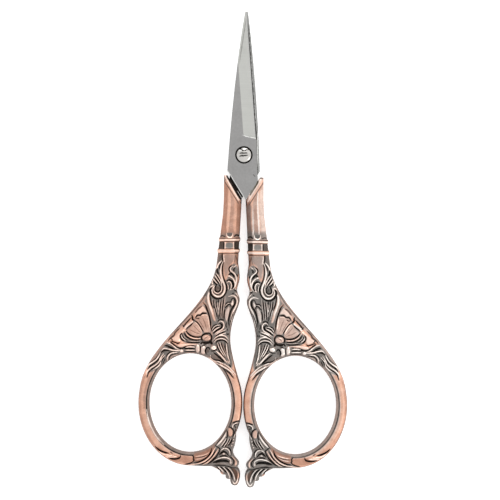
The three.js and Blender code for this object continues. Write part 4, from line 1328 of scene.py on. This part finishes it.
@dataclass(frozen=True)
class AntiqueCopper:
    """Copper plating with a black patina, rubbed bright where it stands proud, and the painted light and
    shade that the handles store with it.

    Args:
        name: Name of the material.
        stops: Tones that the colours below belong to.
        greys: Colours of the grey patina, from black to rubbed.
        coppers: The same of the copper.
        blotches: Grain per metre, octaves and swing of the tone's blotches.
        specks: The same of its specks.
        hues: The same of the hue's blotches.
        rough: Roughness of the patina.
        smooth: Roughness of the rubbed metal.
        skin: Grain per metre and octaves of the cast skin.
        skin_depth: Metres that the skin's grain stands for.
        skin_share: Share of the skin's effect.
    """

    name: str = "antique_copper"
    stops: tuple[float, ...] = (0.0, 0.36, 0.72, 1.0)
    greys: tuple[Colour, ...] = (
        (0.012, 0.011, 0.01), (0.15, 0.14, 0.13), (0.41, 0.37, 0.345), (1.0, 0.93, 0.87),
    )
    coppers: tuple[Colour, ...] = (
        (0.012, 0.009, 0.008), (0.16, 0.088, 0.062), (0.5, 0.262, 0.184), (1.0, 0.6, 0.435),
    )
    blotches: tuple[float, float, float] = (620.0, 4.0, 0.13)
    specks: tuple[float, float, float] = (3200.0, 2.0, 0.08)
    hues: tuple[float, float, float] = (500.0, 3.0, 0.2)
    rough: float = 0.6
    smooth: float = 0.33
    skin: tuple[float, float] = (5200.0, 3.0)
    skin_depth: float = 0.00001
    skin_share: float = 0.35

    def make(self) -> bpy.types.Material:
        """Build the material.

        Returns:
            The material.
        """
        board = NodeBoard(bpy.data.materials.new(self.name))
        worn = board.sum(board.attribute("tone"), board.mottle(*self.blotches))
        worn = board.sum(worn, board.mottle(*self.specks))
        flushed = board.sum(board.attribute("flush"), board.mottle(*self.hues))
        grey = board.ramp(worn, tuple(zip(self.stops, self.greys)))
        copper = board.ramp(worn, tuple(zip(self.stops, self.coppers)))
        board.join(board.blend(flushed, grey, copper), board.shader.inputs["Base Color"])
        board.join(board.between(worn, self.rough, self.smooth), board.shader.inputs["Roughness"])
        board.shader.inputs["Metallic"].default_value = 1.0
        grain, detail = self.skin
        board.bump(board.streaks((grain, grain, grain), detail), self.skin_depth, self.skin_share)
        return board.material


@dataclass(frozen=True)
class Steel:
    """Blade steel with the marks of its wheel.

    Args:
        name: Name of the material.
        dark: Linear colour of its darker grain.
        light: Linear colour of its lighter grain.
        smooth: Lowest roughness.
        rough: Highest roughness.
        grain: Scale of the wheel's marks along each axis, per metre.
        mark_depth: Metres that the marks stand for.
        grime_and_light_lines: Lines on it of grime, and of painted shade, highlight and reflection.
        grime_and_shade_radius: Metres from the pivot, beyond which it is painted black, as grime and painted
            shade, or 0.
        grime_and_shade_edge: Metres over which that black starts.
        detail: Octaves of the wheel's marks.
        mark_share: Share of the colour that follows the marks; the rest follows the cloud.
        cloud: Grain per metre and octaves of the cloudy polish.
        shades: Shares at which the colour is all dark and all light.
        bump_share: Share of the marks' effect on the surface.
    """

    name: str
    dark: Colour
    light: Colour
    smooth: float
    rough: float
    grain: tuple[float, float, float]
    mark_depth: float
    grime_and_light_lines: tuple[GrimeAndLightLine, ...] = ()
    grime_and_shade_radius: float = 0.0
    grime_and_shade_edge: float = 0.00006
    detail: float = 5.0
    mark_share: float = 0.6
    cloud: tuple[float, float] = (260.0, 3.0)
    shades: tuple[float, float] = (0.25, 0.75)
    bump_share: float = 0.5

    def make(self, pivot: Vector) -> bpy.types.Material:
        """Build the material.

        Args:
            pivot: The pivot in metres, which the stains are placed from.

        Returns:
            The material.
        """
        board = NodeBoard(bpy.data.materials.new(self.name))
        marks = board.streaks(self.grain, self.detail)
        grain, detail = self.cloud
        cloud = board.between(board.streaks((grain, grain, grain), detail), 0.0, 1.0 - self.mark_share)
        blend = board.sum(board.between(marks, 0.0, self.mark_share), cloud)
        colour = board.ramp(blend, tuple(zip(self.shades, (self.dark, self.light))))
        # Each line tints the steel: grime, a nick, painted shade, a painted highlight or a painted
        # reflection.
        for tone_mark in self.grime_and_light_lines:
            share = board.between(board.line(tone_mark, pivot), 0.0, tone_mark.share)
            colour = board.tinted(share, colour, tone_mark.tint)
        # Beyond the radius the steel is painted black, as grime and painted shade.
        if self.grime_and_shade_radius:
            grime_and_shade = board.beyond(pivot, self.grime_and_shade_radius, self.grime_and_shade_edge)
            colour = board.tinted(grime_and_shade, colour, GRIME_AND_SHADE_TINT)
        board.join(colour, board.shader.inputs["Base Color"])
        board.join(board.between(marks, self.smooth, self.rough), board.shader.inputs["Roughness"])
        board.shader.inputs["Metallic"].default_value = 1.0
        board.bump(marks, self.mark_depth, self.bump_share)
        return board.material


@dataclass(frozen=True)
class FloorPaint:
    """The pale matt floor, lit a little from below like a light table.

    Args:
        name: Name of the material.
        colour: Linear colour of the floor.
        rough: Its roughness.
        sheen: Strength of its reflections.
        glow: Strength of the light from below.
    """

    name: str = "pale_floor"
    colour: Colour = (0.93, 0.93, 0.93)
    rough: float = 0.9
    sheen: float = 0.1
    glow: float = 0.55

    def make(self) -> bpy.types.Material:
        """Build the material.

        Returns:
            The material.
        """
        board = NodeBoard(bpy.data.materials.new(self.name))
        board.shader.inputs["Base Color"].default_value = (*self.colour, 1.0)
        board.shader.inputs["Roughness"].default_value = self.rough
        board.shader.inputs["Specular IOR Level"].default_value = self.sheen
        board.shader.inputs["Emission Color"].default_value = (1.0, 1.0, 1.0, 1.0)
        board.shader.inputs["Emission Strength"].default_value = self.glow
        return board.material


def link(piece: bpy.types.Object) -> bpy.types.Object:
    """Put an object into the scene."""
    bpy.context.scene.collection.objects.link(piece)
    return piece


def applied(piece: bpy.types.Object) -> bpy.types.Mesh:
    """Take an object's mesh with its modifiers worked in, and drop the object.

    Args:
        piece: The object, which is removed.

    Returns:
        The finished mesh.
    """
    result = bpy.data.meshes.new_from_object(piece.evaluated_get(bpy.context.evaluated_depsgraph_get()))
    bpy.data.objects.remove(piece)
    return result


def welded(node: str) -> tuple[bpy.types.Mesh, bmesh.types.BMesh]:
    """Copy a CAD solid's mesh and weld its corners.

    Args:
        node: The CAD node.

    Returns:
        The copied mesh, and its welded shape, which is still to be written to it.
    """
    mesh = frame["nodes"][node].data.copy()
    work = bmesh.new()
    work.from_mesh(mesh)
    bmesh.ops.remove_doubles(work, verts=work.verts[:], dist=WELD)
    return mesh, work


def rounded(mesh: bpy.types.Mesh) -> bpy.types.Mesh:
    """Shade all faces of a mesh as one smooth skin."""
    mesh.polygons.foreach_set("use_smooth", np.ones(len(mesh.polygons), dtype=bool))
    return mesh


def store(mesh: bpy.types.Mesh, name: str, values: np.ndarray) -> None:
    """Store a value for each point of a mesh."""
    layer = mesh.attributes.new(name, "FLOAT", "POINT")
    layer.data.foreach_set("value", values.astype(np.float32))


def seat(mesh: bpy.types.Mesh, suffix: str, node: str, body: str) -> bpy.types.Object:
    """Put a finished piece into the scene, in place of its CAD node.

    Args:
        mesh: The piece's mesh.
        suffix: What its name has after the node's name.
        node: The CAD node that it replaces.
        body: The body that it rides on.

    Returns:
        The piece.
    """
    piece = link(bpy.data.objects.new(node + suffix, mesh))
    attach(piece, body)
    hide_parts(node)
    return piece


def coat(piece: bpy.types.Object, finish: bpy.types.Material) -> None:
    """Give a piece one finish all over."""
    piece.data.materials.clear()
    piece.data.materials.append(finish)


@dataclass
class Handle:
    """A cast handle: the blank from the CAD frame, carved on both faces.

    Args:
        node: The CAD node that it replaces.
        body: The body that it rides on.
        side: Which handle it is.
        pivot: The pivot in metres.
        greying: Power of its hue, above 1 for a greyer patina.
        voxel: Millimetres between points of the blank's skin.
        settle: Rounds of smoothing on the blank.
        settle_share: How far a point moves in each round.
        face_count: Most triangles that the finished mesh keeps.
        guard: How strongly the thinning is kept to the plain places.
        top_share: Least upright share of a normal on the carved top.
        plain_tone: Patina of the uncarved copper.
        plain_margin: Tone that a point may be off from that and still be plain.
        rim_tone: Brightest tone of the walls: patina and painted shade along the outlines.
        wall_tone: Darkest tone of the walls, patina and painted shade.
        rim_flush: Hue of the walls.
    """

    node: str
    body: str
    side: Side
    pivot: Vector
    greying: float = 1.0
    voxel: float = 0.11
    settle: int = 5
    settle_share: float = 0.5
    face_count: int = 190000
    guard: float = 0.02
    top_share: float = 0.5
    plain_tone: float = 0.86
    plain_margin: float = 0.01
    rim_tone: float = 0.38
    wall_tone: float = 0.24
    rim_flush: float = 0.8

    def blank(self) -> bpy.types.Mesh:
        """Give the CAD solid an even, fine skin, in millimetres.

        Returns:
            The blank.
        """
        mesh = frame["nodes"][self.node].data.copy()
        mesh.transform(Matrix.Scale(1.0 / MILLIMETRE, 4))
        holder = link(bpy.data.objects.new(self.node + "_blank", mesh))
        skin = holder.modifiers.new("skin", "REMESH")
        skin.mode = "VOXEL"
        skin.voxel_size = self.voxel
        settled = holder.modifiers.new("settled", "SMOOTH")
        settled.factor = self.settle_share
        settled.iterations = self.settle
        return applied(holder)

    @staticmethod
    def read(mesh: bpy.types.Mesh, value: str) -> np.ndarray:
        """Read a vector of each of a mesh's points.

        Args:
            mesh: The mesh.
            value: Which vector, "co" or "normal".

        Returns:
            One row for each point.
        """
        rows = np.empty(3 * len(mesh.vertices))
        mesh.vertices.foreach_get(value, rows)
        return rows.reshape(-1, 3)

    def on_photo(self, places: np.ndarray) -> tuple[np.ndarray, np.ndarray]:
        """Find where points lie on the photograph's left handle.

        Args:
            places: Points in millimetres.

        Returns:
            Pixels across and down.
        """
        across = (places[:, 0] - self.pivot.x / MILLIMETRE) * -self.side.value
        up = places[:, 1] - self.pivot.y / MILLIMETRE
        if self.side is Side.RIGHT:
            up = up + 2.0 * HANDLE_STAGGER
        turned_x = across * math.cos(PHOTO_ROLL) + up * math.sin(PHOTO_ROLL)
        turned_y = up * math.cos(PHOTO_ROLL) - across * math.sin(PHOTO_ROLL)
        return PHOTO_PIVOT[0] + turned_x / PHOTO_SCALE, PHOTO_PIVOT[1] - turned_y / PHOTO_SCALE

    def carving(self, places: np.ndarray) -> Sheet:
        """Work out the carving over the handle.

        Args:
            places: Points in millimetres.

        Returns:
            The carved sheet.
        """
        x, y = self.on_photo(places)
        sheet = Sheet(x, y, np.zeros(len(x)), np.full(len(x), self.plain_tone), np.ones(len(x)))
        for motif in ORNAMENTS:
            motif.carve(sheet, self.side)
        return sheet

    def carve(self, mesh: bpy.types.Mesh) -> np.ndarray:
        """Carve the blank, and store how far each point's face looks up or down.

        Args:
            mesh: The blank, in millimetres.

        Returns:
            Indices of its plain points.
        """
        places = self.read(mesh, "co")
        upright = self.read(mesh, "normal")[:, 2]
        sheet = self.carving(places)
        facing = smooth_step(*UPRIGHT, np.abs(upright))
        places[:, 2] += np.sign(upright) * facing * sheet.height
        places[:, 2] = np.maximum(places[:, 2], 0.0)
        mesh.vertices.foreach_set("co", places.ravel())
        mesh.update()
        store(mesh, "facing", facing)
        untouched = np.abs(sheet.tone - self.plain_tone) < self.plain_margin
        return np.nonzero((upright < self.top_share) | untouched)[0]

    def thin(self, mesh: bpy.types.Mesh, plain: np.ndarray) -> bpy.types.Mesh:
        """Take triangles out of the carved mesh, from its plain places first.

        Args:
            mesh: The carved mesh.
            plain: Indices of its plain points.

        Returns:
            The thinned mesh.
        """
        holder = link(bpy.data.objects.new(self.node + "_carved", mesh))
        holder.vertex_groups.new(name="plain").add(plain.tolist(), 1.0, "REPLACE")
        thinned = holder.modifiers.new("thinned", "DECIMATE")
        thinned.vertex_group = "plain"
        thinned.vertex_group_factor = self.guard
        thinned.ratio = min(1.0, self.face_count / sum(len(face.vertices) - 2 for face in mesh.polygons))
        thinned.use_collapse_triangulate = True
        LOG.info("%s: %d faces carved", self.node, len(mesh.polygons))
        return applied(holder)

    def tone_mark(self, mesh: bpy.types.Mesh) -> None:
        """Store the tone on the mesh: patina, with painted light and shade on some marks and on the walls.

        Args:
            mesh: The carved mesh, in millimetres.
        """
        sheet = self.carving(self.read(mesh, "co"))
        facing = np.empty(len(mesh.vertices), dtype=np.float32)
        mesh.attributes["facing"].data.foreach_get("value", facing)
        mesh.attributes.remove(mesh.attributes["facing"])
        # The walls are kept dark: patina, and painted shade along the outlines.
        walls = np.clip(sheet.tone, self.wall_tone, self.rim_tone)
        store(mesh, "tone", walls * (1.0 - facing) + sheet.tone * facing)
        store(mesh, "flush", self.rim_flush * (1.0 - facing) + sheet.flush**self.greying * facing)

    def build(self) -> bpy.types.Object:
        """Carve the blank and put the handle into the scene.

        Returns:
            The handle.
        """
        mesh = self.blank()
        mesh = self.thin(mesh, self.carve(mesh))
        self.tone_mark(mesh)
        mesh.transform(Matrix.Scale(MILLIMETRE, 4))
        return seat(rounded(mesh), "_casting", self.node, self.body)

    def dress(self, handle: bpy.types.Object, copper: bpy.types.Material) -> None:
        """Plate the handle."""
        coat(handle, copper)


class Face(Enum):
    """The finishes of a blade, in the order of its material slots."""

    OUTER = 0
    INNER = 1
    GRIND = 2
    HONE = 3
    BROKEN = 4
    BORE_GRIME_AND_SHADE = 5


@dataclass
class Blade:
    """A ground blade: the CAD solid with its edges broken and a finish for each ground face.

    Args:
        node: The CAD node that it replaces.
        body: The body that it rides on.
        outward: 1 where its outer face looks up, -1 where it looks down.
        pivot: The pivot in metres.
        edge_break: Metres taken off its sharp corners.
        edge_facets: Facets across a broken corner.
        corner_angle: Least angle of a sharp corner.
        tall_wall: Metres, lowest side whose corners are broken.
        flat_share: Least upright share of a flat face's normal.
        bevel_share: The same of the wide grind.
        wall_share: Most upright share of a side's normal.
        bore_radius: Metres, round the counterbore.
        bore_depth: Metres below the outer face, from which the counterbore is painted near black, as grime
            and painted shade.
    """

    node: str
    body: str
    outward: int
    pivot: Vector
    edge_break: float = 0.00009
    edge_facets: int = 2
    corner_angle: float = math.radians(40)
    tall_wall: float = 0.0006
    flat_share: float = 0.985
    bevel_share: float = 0.85
    wall_share: float = 0.3
    bore_radius: float = 0.00232
    bore_depth: float = 0.0001

    def build(self) -> bpy.types.Object:
        """Put the blade into the scene.

        Returns:
            The blade.
        """
        mesh, work = welded(self.node)
        bmesh.ops.dissolve_limit(work, angle_limit=FLAT_ANGLE, verts=work.verts[:], edges=work.edges[:])
        weight = work.edges.layers.float.new("bevel_weight_edge")
        for edge in work.edges:
            edge[weight] = 1.0 if self.is_corner(edge) else 0.0
        work.to_mesh(mesh)
        work.free()
        mesh.materials.clear()
        for _ in Face:
            mesh.materials.append(None)
        holder = link(bpy.data.objects.new(self.node + "_ground", mesh))
        broken = holder.modifiers.new("broken_edges", "BEVEL")
        broken.width = self.edge_break
        broken.segments = self.edge_facets
        broken.limit_method = "WEIGHT"
        broken.use_clamp_overlap = True
        broken.material = Face.BROKEN.value
        return seat(applied(holder), "_steel", self.node, self.body)

    def is_corner(self, edge: bmesh.types.BMEdge) -> bool:
        """Tell a sharp corner along a tall side, which is broken, from a cutting edge, which is not.

        Args:
            edge: An edge of the blade.

        Returns:
            Whether it is such a corner.
        """
        if len(edge.link_faces) != 2 or edge.calc_face_angle(0.0) < self.corner_angle:
            return False
        for face in edge.link_faces:
            heights = [corner.co.z for corner in face.verts]
            if abs(face.normal.z) < self.wall_share and max(heights) - min(heights) > self.tall_wall:
                return True
        return False

    def finish_of(self, face: bpy.types.MeshPolygon, rim: float) -> Face:
        """Choose a face's finish.

        Args:
            face: A face of the blade.
            rim: Height of the blade's outer face, in metres from the mid-plane.

        Returns:
            Its finish.
        """
        if face.material_index == Face.BROKEN.value:
            return Face.BROKEN
        lift = face.normal.z * self.outward
        reach = (face.center.xy - self.pivot.xy).length
        sunk = (face.center.z - self.pivot.z) * self.outward < rim - self.bore_depth
        if reach < self.bore_radius and sunk:
            return Face.BORE_GRIME_AND_SHADE
        if lift < -self.flat_share:
            return Face.INNER
        if lift > self.flat_share or abs(lift) < self.wall_share:
            return Face.OUTER
        return Face.GRIND if lift > self.bevel_share else Face.HONE

    def dress(self, blade: bpy.types.Object, finishes: dict[Face, bpy.types.Material]) -> None:
        """Give the flats, the wide grind, the honed edge and the corners their finishes.

        Args:
            blade: The blade.
            finishes: A material for each finish.
        """
        low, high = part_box(self.node)
        rim = max(high.z - self.pivot.z, self.pivot.z - low.z)
        for face in blade.data.polygons:
            face.material_index = self.finish_of(face, rim).value
        for face in Face:
            blade.data.materials[face.value] = finishes[face]


@dataclass
class PivotScrew:
    """The slotted screw: the CAD solid with its edges broken.

    Args:
        node: The CAD node that it replaces.
        body: The body that it rides on.
        edge_break: Metres taken off its corners.
        edge_facets: Facets across a broken corner.
        round_angle: Least angle of a corner; what is flatter is round.
    """

    node: str = "pivot_screw"
    body: str = "left_half"
    edge_break: float = 0.00008
    edge_facets: int = 3
    round_angle: float = math.radians(35)

    def build(self) -> bpy.types.Object:
        """Put the screw into the scene.

        Returns:
            The screw.
        """
        mesh, work = welded(self.node)
        work.to_mesh(mesh)
        work.free()
        holder = link(bpy.data.objects.new(self.node + "_turned", mesh))
        broken = holder.modifiers.new("broken_edges", "BEVEL")
        broken.width = self.edge_break
        broken.segments = self.edge_facets
        broken.limit_method = "ANGLE"
        broken.angle_limit = self.round_angle
        mesh = rounded(applied(holder))
        mesh.set_sharp_from_angle(angle=self.round_angle)
        return seat(mesh, "_polished", self.node, self.body)

    def dress(self, screw: bpy.types.Object, polish: bpy.types.Material) -> None:
        """Polish the screw."""
        coat(screw, polish)


@dataclass(frozen=True)
class Softbox:
    """A square soft light that looks at the scene's middle.

    Args:
        name: Name of the light.
        place: Where it hangs, in metres.
        side: Its side, in metres.
        power: Its power, in watts.
    """

    name: str
    place: tuple[float, float, float]
    side: float = 0.3
    power: float = 0.8

    def hang(self) -> None:
        """Hang the light."""
        lamp = bpy.data.lights.new(self.name, "AREA")
        lamp.shape = "SQUARE"
        lamp.size = self.side
        lamp.energy = self.power
        box = link(bpy.data.objects.new(self.name, lamp))
        box.location = self.place
        box.rotation_euler = (-box.location).to_track_quat("-Z", "Y").to_euler()


@dataclass
class Studio:
    """The floor, the soft lights and the camera above the scissors.

    Args:
        pivot: The pivot in metres, over which the photograph was taken.
        lens: Millimetres of the camera's lens.
        sensor: Millimetres across its sensor.
        floor_side: Metres along the floor's side.
        dim_side: Linear colour of the room on the left.
        bright_side: The same on the right.
        lights: The soft lights.
    """

    pivot: Vector
    lens: float = 180.0
    sensor: float = 36.0
    floor_side: float = 3.0
    dim_side: Colour = (0.84, 0.84, 0.85)
    bright_side: Colour = (1.14, 1.14, 1.13)
    lights: tuple[Softbox, ...] = (
        Softbox("right_softbox", (0.55, -0.35, 0.5)),
        Softbox("upper_softbox", (0.1, 0.5, 0.5)),
    )

    def build(self) -> None:
        """Make the floor, the lights, the room and the camera."""
        self.lay_floor()
        for light in self.lights:
            light.hang()
        self.paint_room()
        self.aim_camera()

    def lay_floor(self) -> None:
        """Lay the pale floor under the scissors."""
        half = self.floor_side / 2.0
        corners = [(-half, -half, 0), (half, -half, 0), (half, half, 0), (-half, half, 0)]
        mesh = bpy.data.meshes.new("floor")
        mesh.from_pydata(corners, [], [(0, 1, 2, 3)])
        mesh.materials.append(FloorPaint().make())
        link(bpy.data.objects.new("floor", mesh))

    def paint_room(self) -> None:
        """Surround the scissors with plain light, dimmer from the left than from the right."""
        room = bpy.data.worlds.new("studio")
        room.use_nodes = True
        tree = room.node_tree
        way = tree.nodes.new("ShaderNodeTexCoord")
        axes = tree.nodes.new("ShaderNodeSeparateXYZ")
        tree.links.new(way.outputs["Generated"], axes.inputs["Vector"])
        across = tree.nodes.new("ShaderNodeMapRange")
        across.inputs["From Min"].default_value = -1.0
        tree.links.new(axes.outputs["X"], across.inputs["Value"])
        shades = tree.nodes.new("ShaderNodeValToRGB")
        shades.color_ramp.elements[0].color = (*self.dim_side, 1.0)
        shades.color_ramp.elements[1].color = (*self.bright_side, 1.0)
        tree.links.new(across.outputs["Result"], shades.inputs["Fac"])
        tree.links.new(shades.outputs["Color"], tree.nodes["Background"].inputs["Color"])
        bpy.context.scene.world = room
        bpy.context.scene.view_settings.view_transform = "Standard"

    def aim_camera(self) -> None:
        """Hang the camera straight above the middle of the photograph's frame."""
        middle = PHOTO_SIDE / 2.0
        across = (middle - PHOTO_PIVOT[0]) * PHOTO_SCALE
        up = (PHOTO_PIVOT[1] - middle) * PHOTO_SCALE
        turned_x = across * math.cos(PHOTO_ROLL) - up * math.sin(PHOTO_ROLL)
        turned_y = across * math.sin(PHOTO_ROLL) + up * math.cos(PHOTO_ROLL)
        eye = bpy.data.cameras.new("camera")
        eye.lens = self.lens
        eye.sensor_width = self.sensor
        frame_width = PHOTO_SIDE * PHOTO_SCALE * MILLIMETRE
        camera = link(bpy.data.objects.new("camera", eye))
        camera.location = (
            self.pivot.x + turned_x * MILLIMETRE,
            self.pivot.y + turned_y * MILLIMETRE,
            self.pivot.z + frame_width * self.lens / self.sensor,
        )
        camera.rotation_euler = (0.0, 0.0, PHOTO_ROLL)
        bpy.context.scene.camera = camera


# Lines on the steel: a dark line along the right mouth and a nick; painted shade with grime in the left
# mouth; painted shadow and shade where the blades meet; painted highlights beside them; a painted reflection
# by the right mouth; a dark line on the front grind; and on the screw a painted reflection, painted shade in
# the slot and a painted highlight.
FRONT_LINES = (
    # A dark line along the right mouth.
    GrimeAndLightLine((4.5, -5.5), (2.6, -9.2), 0.3, 0.95),
    # A dull olive painted reflection beside the right mouth.
    GrimeAndLightLine((4.4, -6.2), (0.8, -12.0), 0.6, 0.6, OLIVE_REFLECTION_TINT),
    # A painted highlight along the blade's edge by the left mouth.
    GrimeAndLightLine((-4.6, -3.5), (1.2, -13.0), 0.16, 0.8, GLEAM),
    # A nick.
    GrimeAndLightLine((2.35, -5.05), (3.1, -5.75), 0.16, 0.75),
    # A painted highlight along the foot of the grind.
    GrimeAndLightLine((-0.6, 5.2), (4.2, 4.1), 0.26, 0.9, GLEAM),
)
# A dark line on the front blade's grind.
GRIND_LINES = (GrimeAndLightLine((-1.42, 23.2), (0.66, 37.3), 0.22, 0.45),)
BACK_PAINTED_SHADE_AND_LIGHT = (
    # Painted shade, black, in the gap between the front blade and the left mouth, with grime.
    GrimeAndLightLine((-7.3, -0.6), (2.3, -15.8), 1.7, 1.0),
    # Painted shadow of the front blade's cutting edge on this blade, then lines of painted shade with a
    # painted highlight between them along this blade's edge.
    GrimeAndLightLine((3.8, -2.8), (0.5, 39.2), 0.3, 0.95),
    GrimeAndLightLine((3.2, 9.0), (3.8, -8.0), 0.2, 0.8),
    GrimeAndLightLine((3.56, 7.6), (3.66, -3.2), 0.2, 0.9, GLEAM),
    GrimeAndLightLine((3.72, 8.0), (4.3, -6.0), 0.22, 0.9),
    GrimeAndLightLine((4.5, -3.6), (0.6, 41.0), 0.14, 0.7),
)
SCREW_PAINTED_LIGHT = (
    # A dark painted reflection across the top of the head.
    GrimeAndLightLine((-1.6, 1.86), (0.05, 1.02), 0.3, 1.0),
    GrimeAndLightLine((-0.6, 1.14), (0.9, 1.32), 0.3, 1.0),
    GrimeAndLightLine((0.2, 1.26), (2.0, 1.46), 0.28, 0.9),
    # Painted shade along the two walls of the slot.
    GrimeAndLightLine((-1.4, 0.42), (1.1, 0.54), 0.3, 0.95),
    GrimeAndLightLine((-1.3, -0.44), (-0.2, -0.16), 0.28, 0.95),
    GrimeAndLightLine((-0.75, -0.22), (0.7, -0.18), 0.34, 1.0),
    GrimeAndLightLine((0.2, -0.22), (1.1, -0.04), 0.26, 0.85),
    # A painted highlight on the head.
    GrimeAndLightLine((-1.4, 1.06), (-0.55, 1.22), 0.26, 1.0, GLEAM),
)

# The steel's finishes: how the wheel's marks run, and each ground or turned face.
EVEN_GRAIN = (1600.0, 1600.0, 1600.0)
CROSS_GRAIN = (90.0, 9000.0, 90.0)
TURNED_GRAIN = (900.0, 9000.0, 900.0)
SATIN = Steel("satin_steel", (0.29, 0.286, 0.282), (0.37, 0.366, 0.362), 0.34, 0.44, EVEN_GRAIN, 0.000006)
GROUND = Steel("ground_steel", (0.44, 0.444, 0.424), (0.54, 0.544, 0.52), 0.26, 0.38, CROSS_GRAIN, 0.000008)
HONED = Steel("honed_steel", (0.42, 0.42, 0.412), (0.5, 0.5, 0.49), 0.2, 0.3, CROSS_GRAIN, 0.000003)
# The broken corners are dark, as painted shade along the blade's outlines.
BROKEN = Steel("broken_edge", (0.12, 0.118, 0.115), (0.2, 0.198, 0.195), 0.4, 0.5, EVEN_GRAIN, 0.000003)
# The counterbore round the screw is near black: grime and painted shade.
BORE_GRIME_AND_SHADE = Steel(
    "counterbore_grime_and_shade", (0.02, 0.018, 0.016), (0.045, 0.042, 0.038), 0.55, 0.7, EVEN_GRAIN, 0.000004,
)
FRONT_FLAT = replace(SATIN, name="front_flat", grime_and_light_lines=FRONT_LINES)
FRONT_GRIND = replace(GROUND, name="front_grind", grime_and_light_lines=GRIND_LINES)
BACK_INSIDE = replace(
    SATIN, name="back_inside", dark=(0.4, 0.4, 0.39), light=(0.52, 0.52, 0.505), grime_and_light_lines=BACK_PAINTED_SHADE_AND_LIGHT,
)
# The screw's steel with its painted light, painted black towards the rim of its head as grime and painted
# shade.
SCREW_POLISH = Steel(
    "screw_steel", (0.56, 0.54, 0.515), (0.7, 0.68, 0.65), 0.16, 0.26, TURNED_GRAIN, 0.000003, SCREW_PAINTED_LIGHT,
    grime_and_shade_radius=0.00184,
)


def report(piece: bpy.types.Object) -> None:
    """Report a finished piece."""
    LOG.info("%s: %d faces", piece.name, len(piece.data.polygons))


def main() -> None:
    """Build the studio and the scissors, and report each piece."""
    logging.basicConfig(level=logging.INFO)
    pivot = Vector(frame["joints"][0]["pos_m"])
    Studio(pivot).build()
    copper = AntiqueCopper().make()
    for handle in (
        Handle("left_handle", "left_half", Side.LEFT, pivot),
        Handle("right_handle", "right_half", Side.RIGHT, pivot, greying=2.5),
    ):
        piece = handle.build()
        handle.dress(piece, copper)
        report(piece)
    shared = [finish.make(pivot) for finish in (HONED, BROKEN, BORE_GRIME_AND_SHADE)]
    for blade, faces in (
        (Blade("front_blade", "right_half", 1, pivot), (FRONT_FLAT, SATIN, FRONT_GRIND)),
        (Blade("back_blade", "left_half", -1, pivot), (SATIN, BACK_INSIDE, GROUND)),
    ):
        piece = blade.build()
        finishes = [finish.make(pivot) for finish in faces] + shared
        blade.dress(piece, dict(zip(Face, finishes)))
        report(piece)
    screw = PivotScrew()
    piece = screw.build()
    screw.dress(piece, SCREW_POLISH.make(pivot))
    report(piece)


if __name__ == "__main__":
    main()
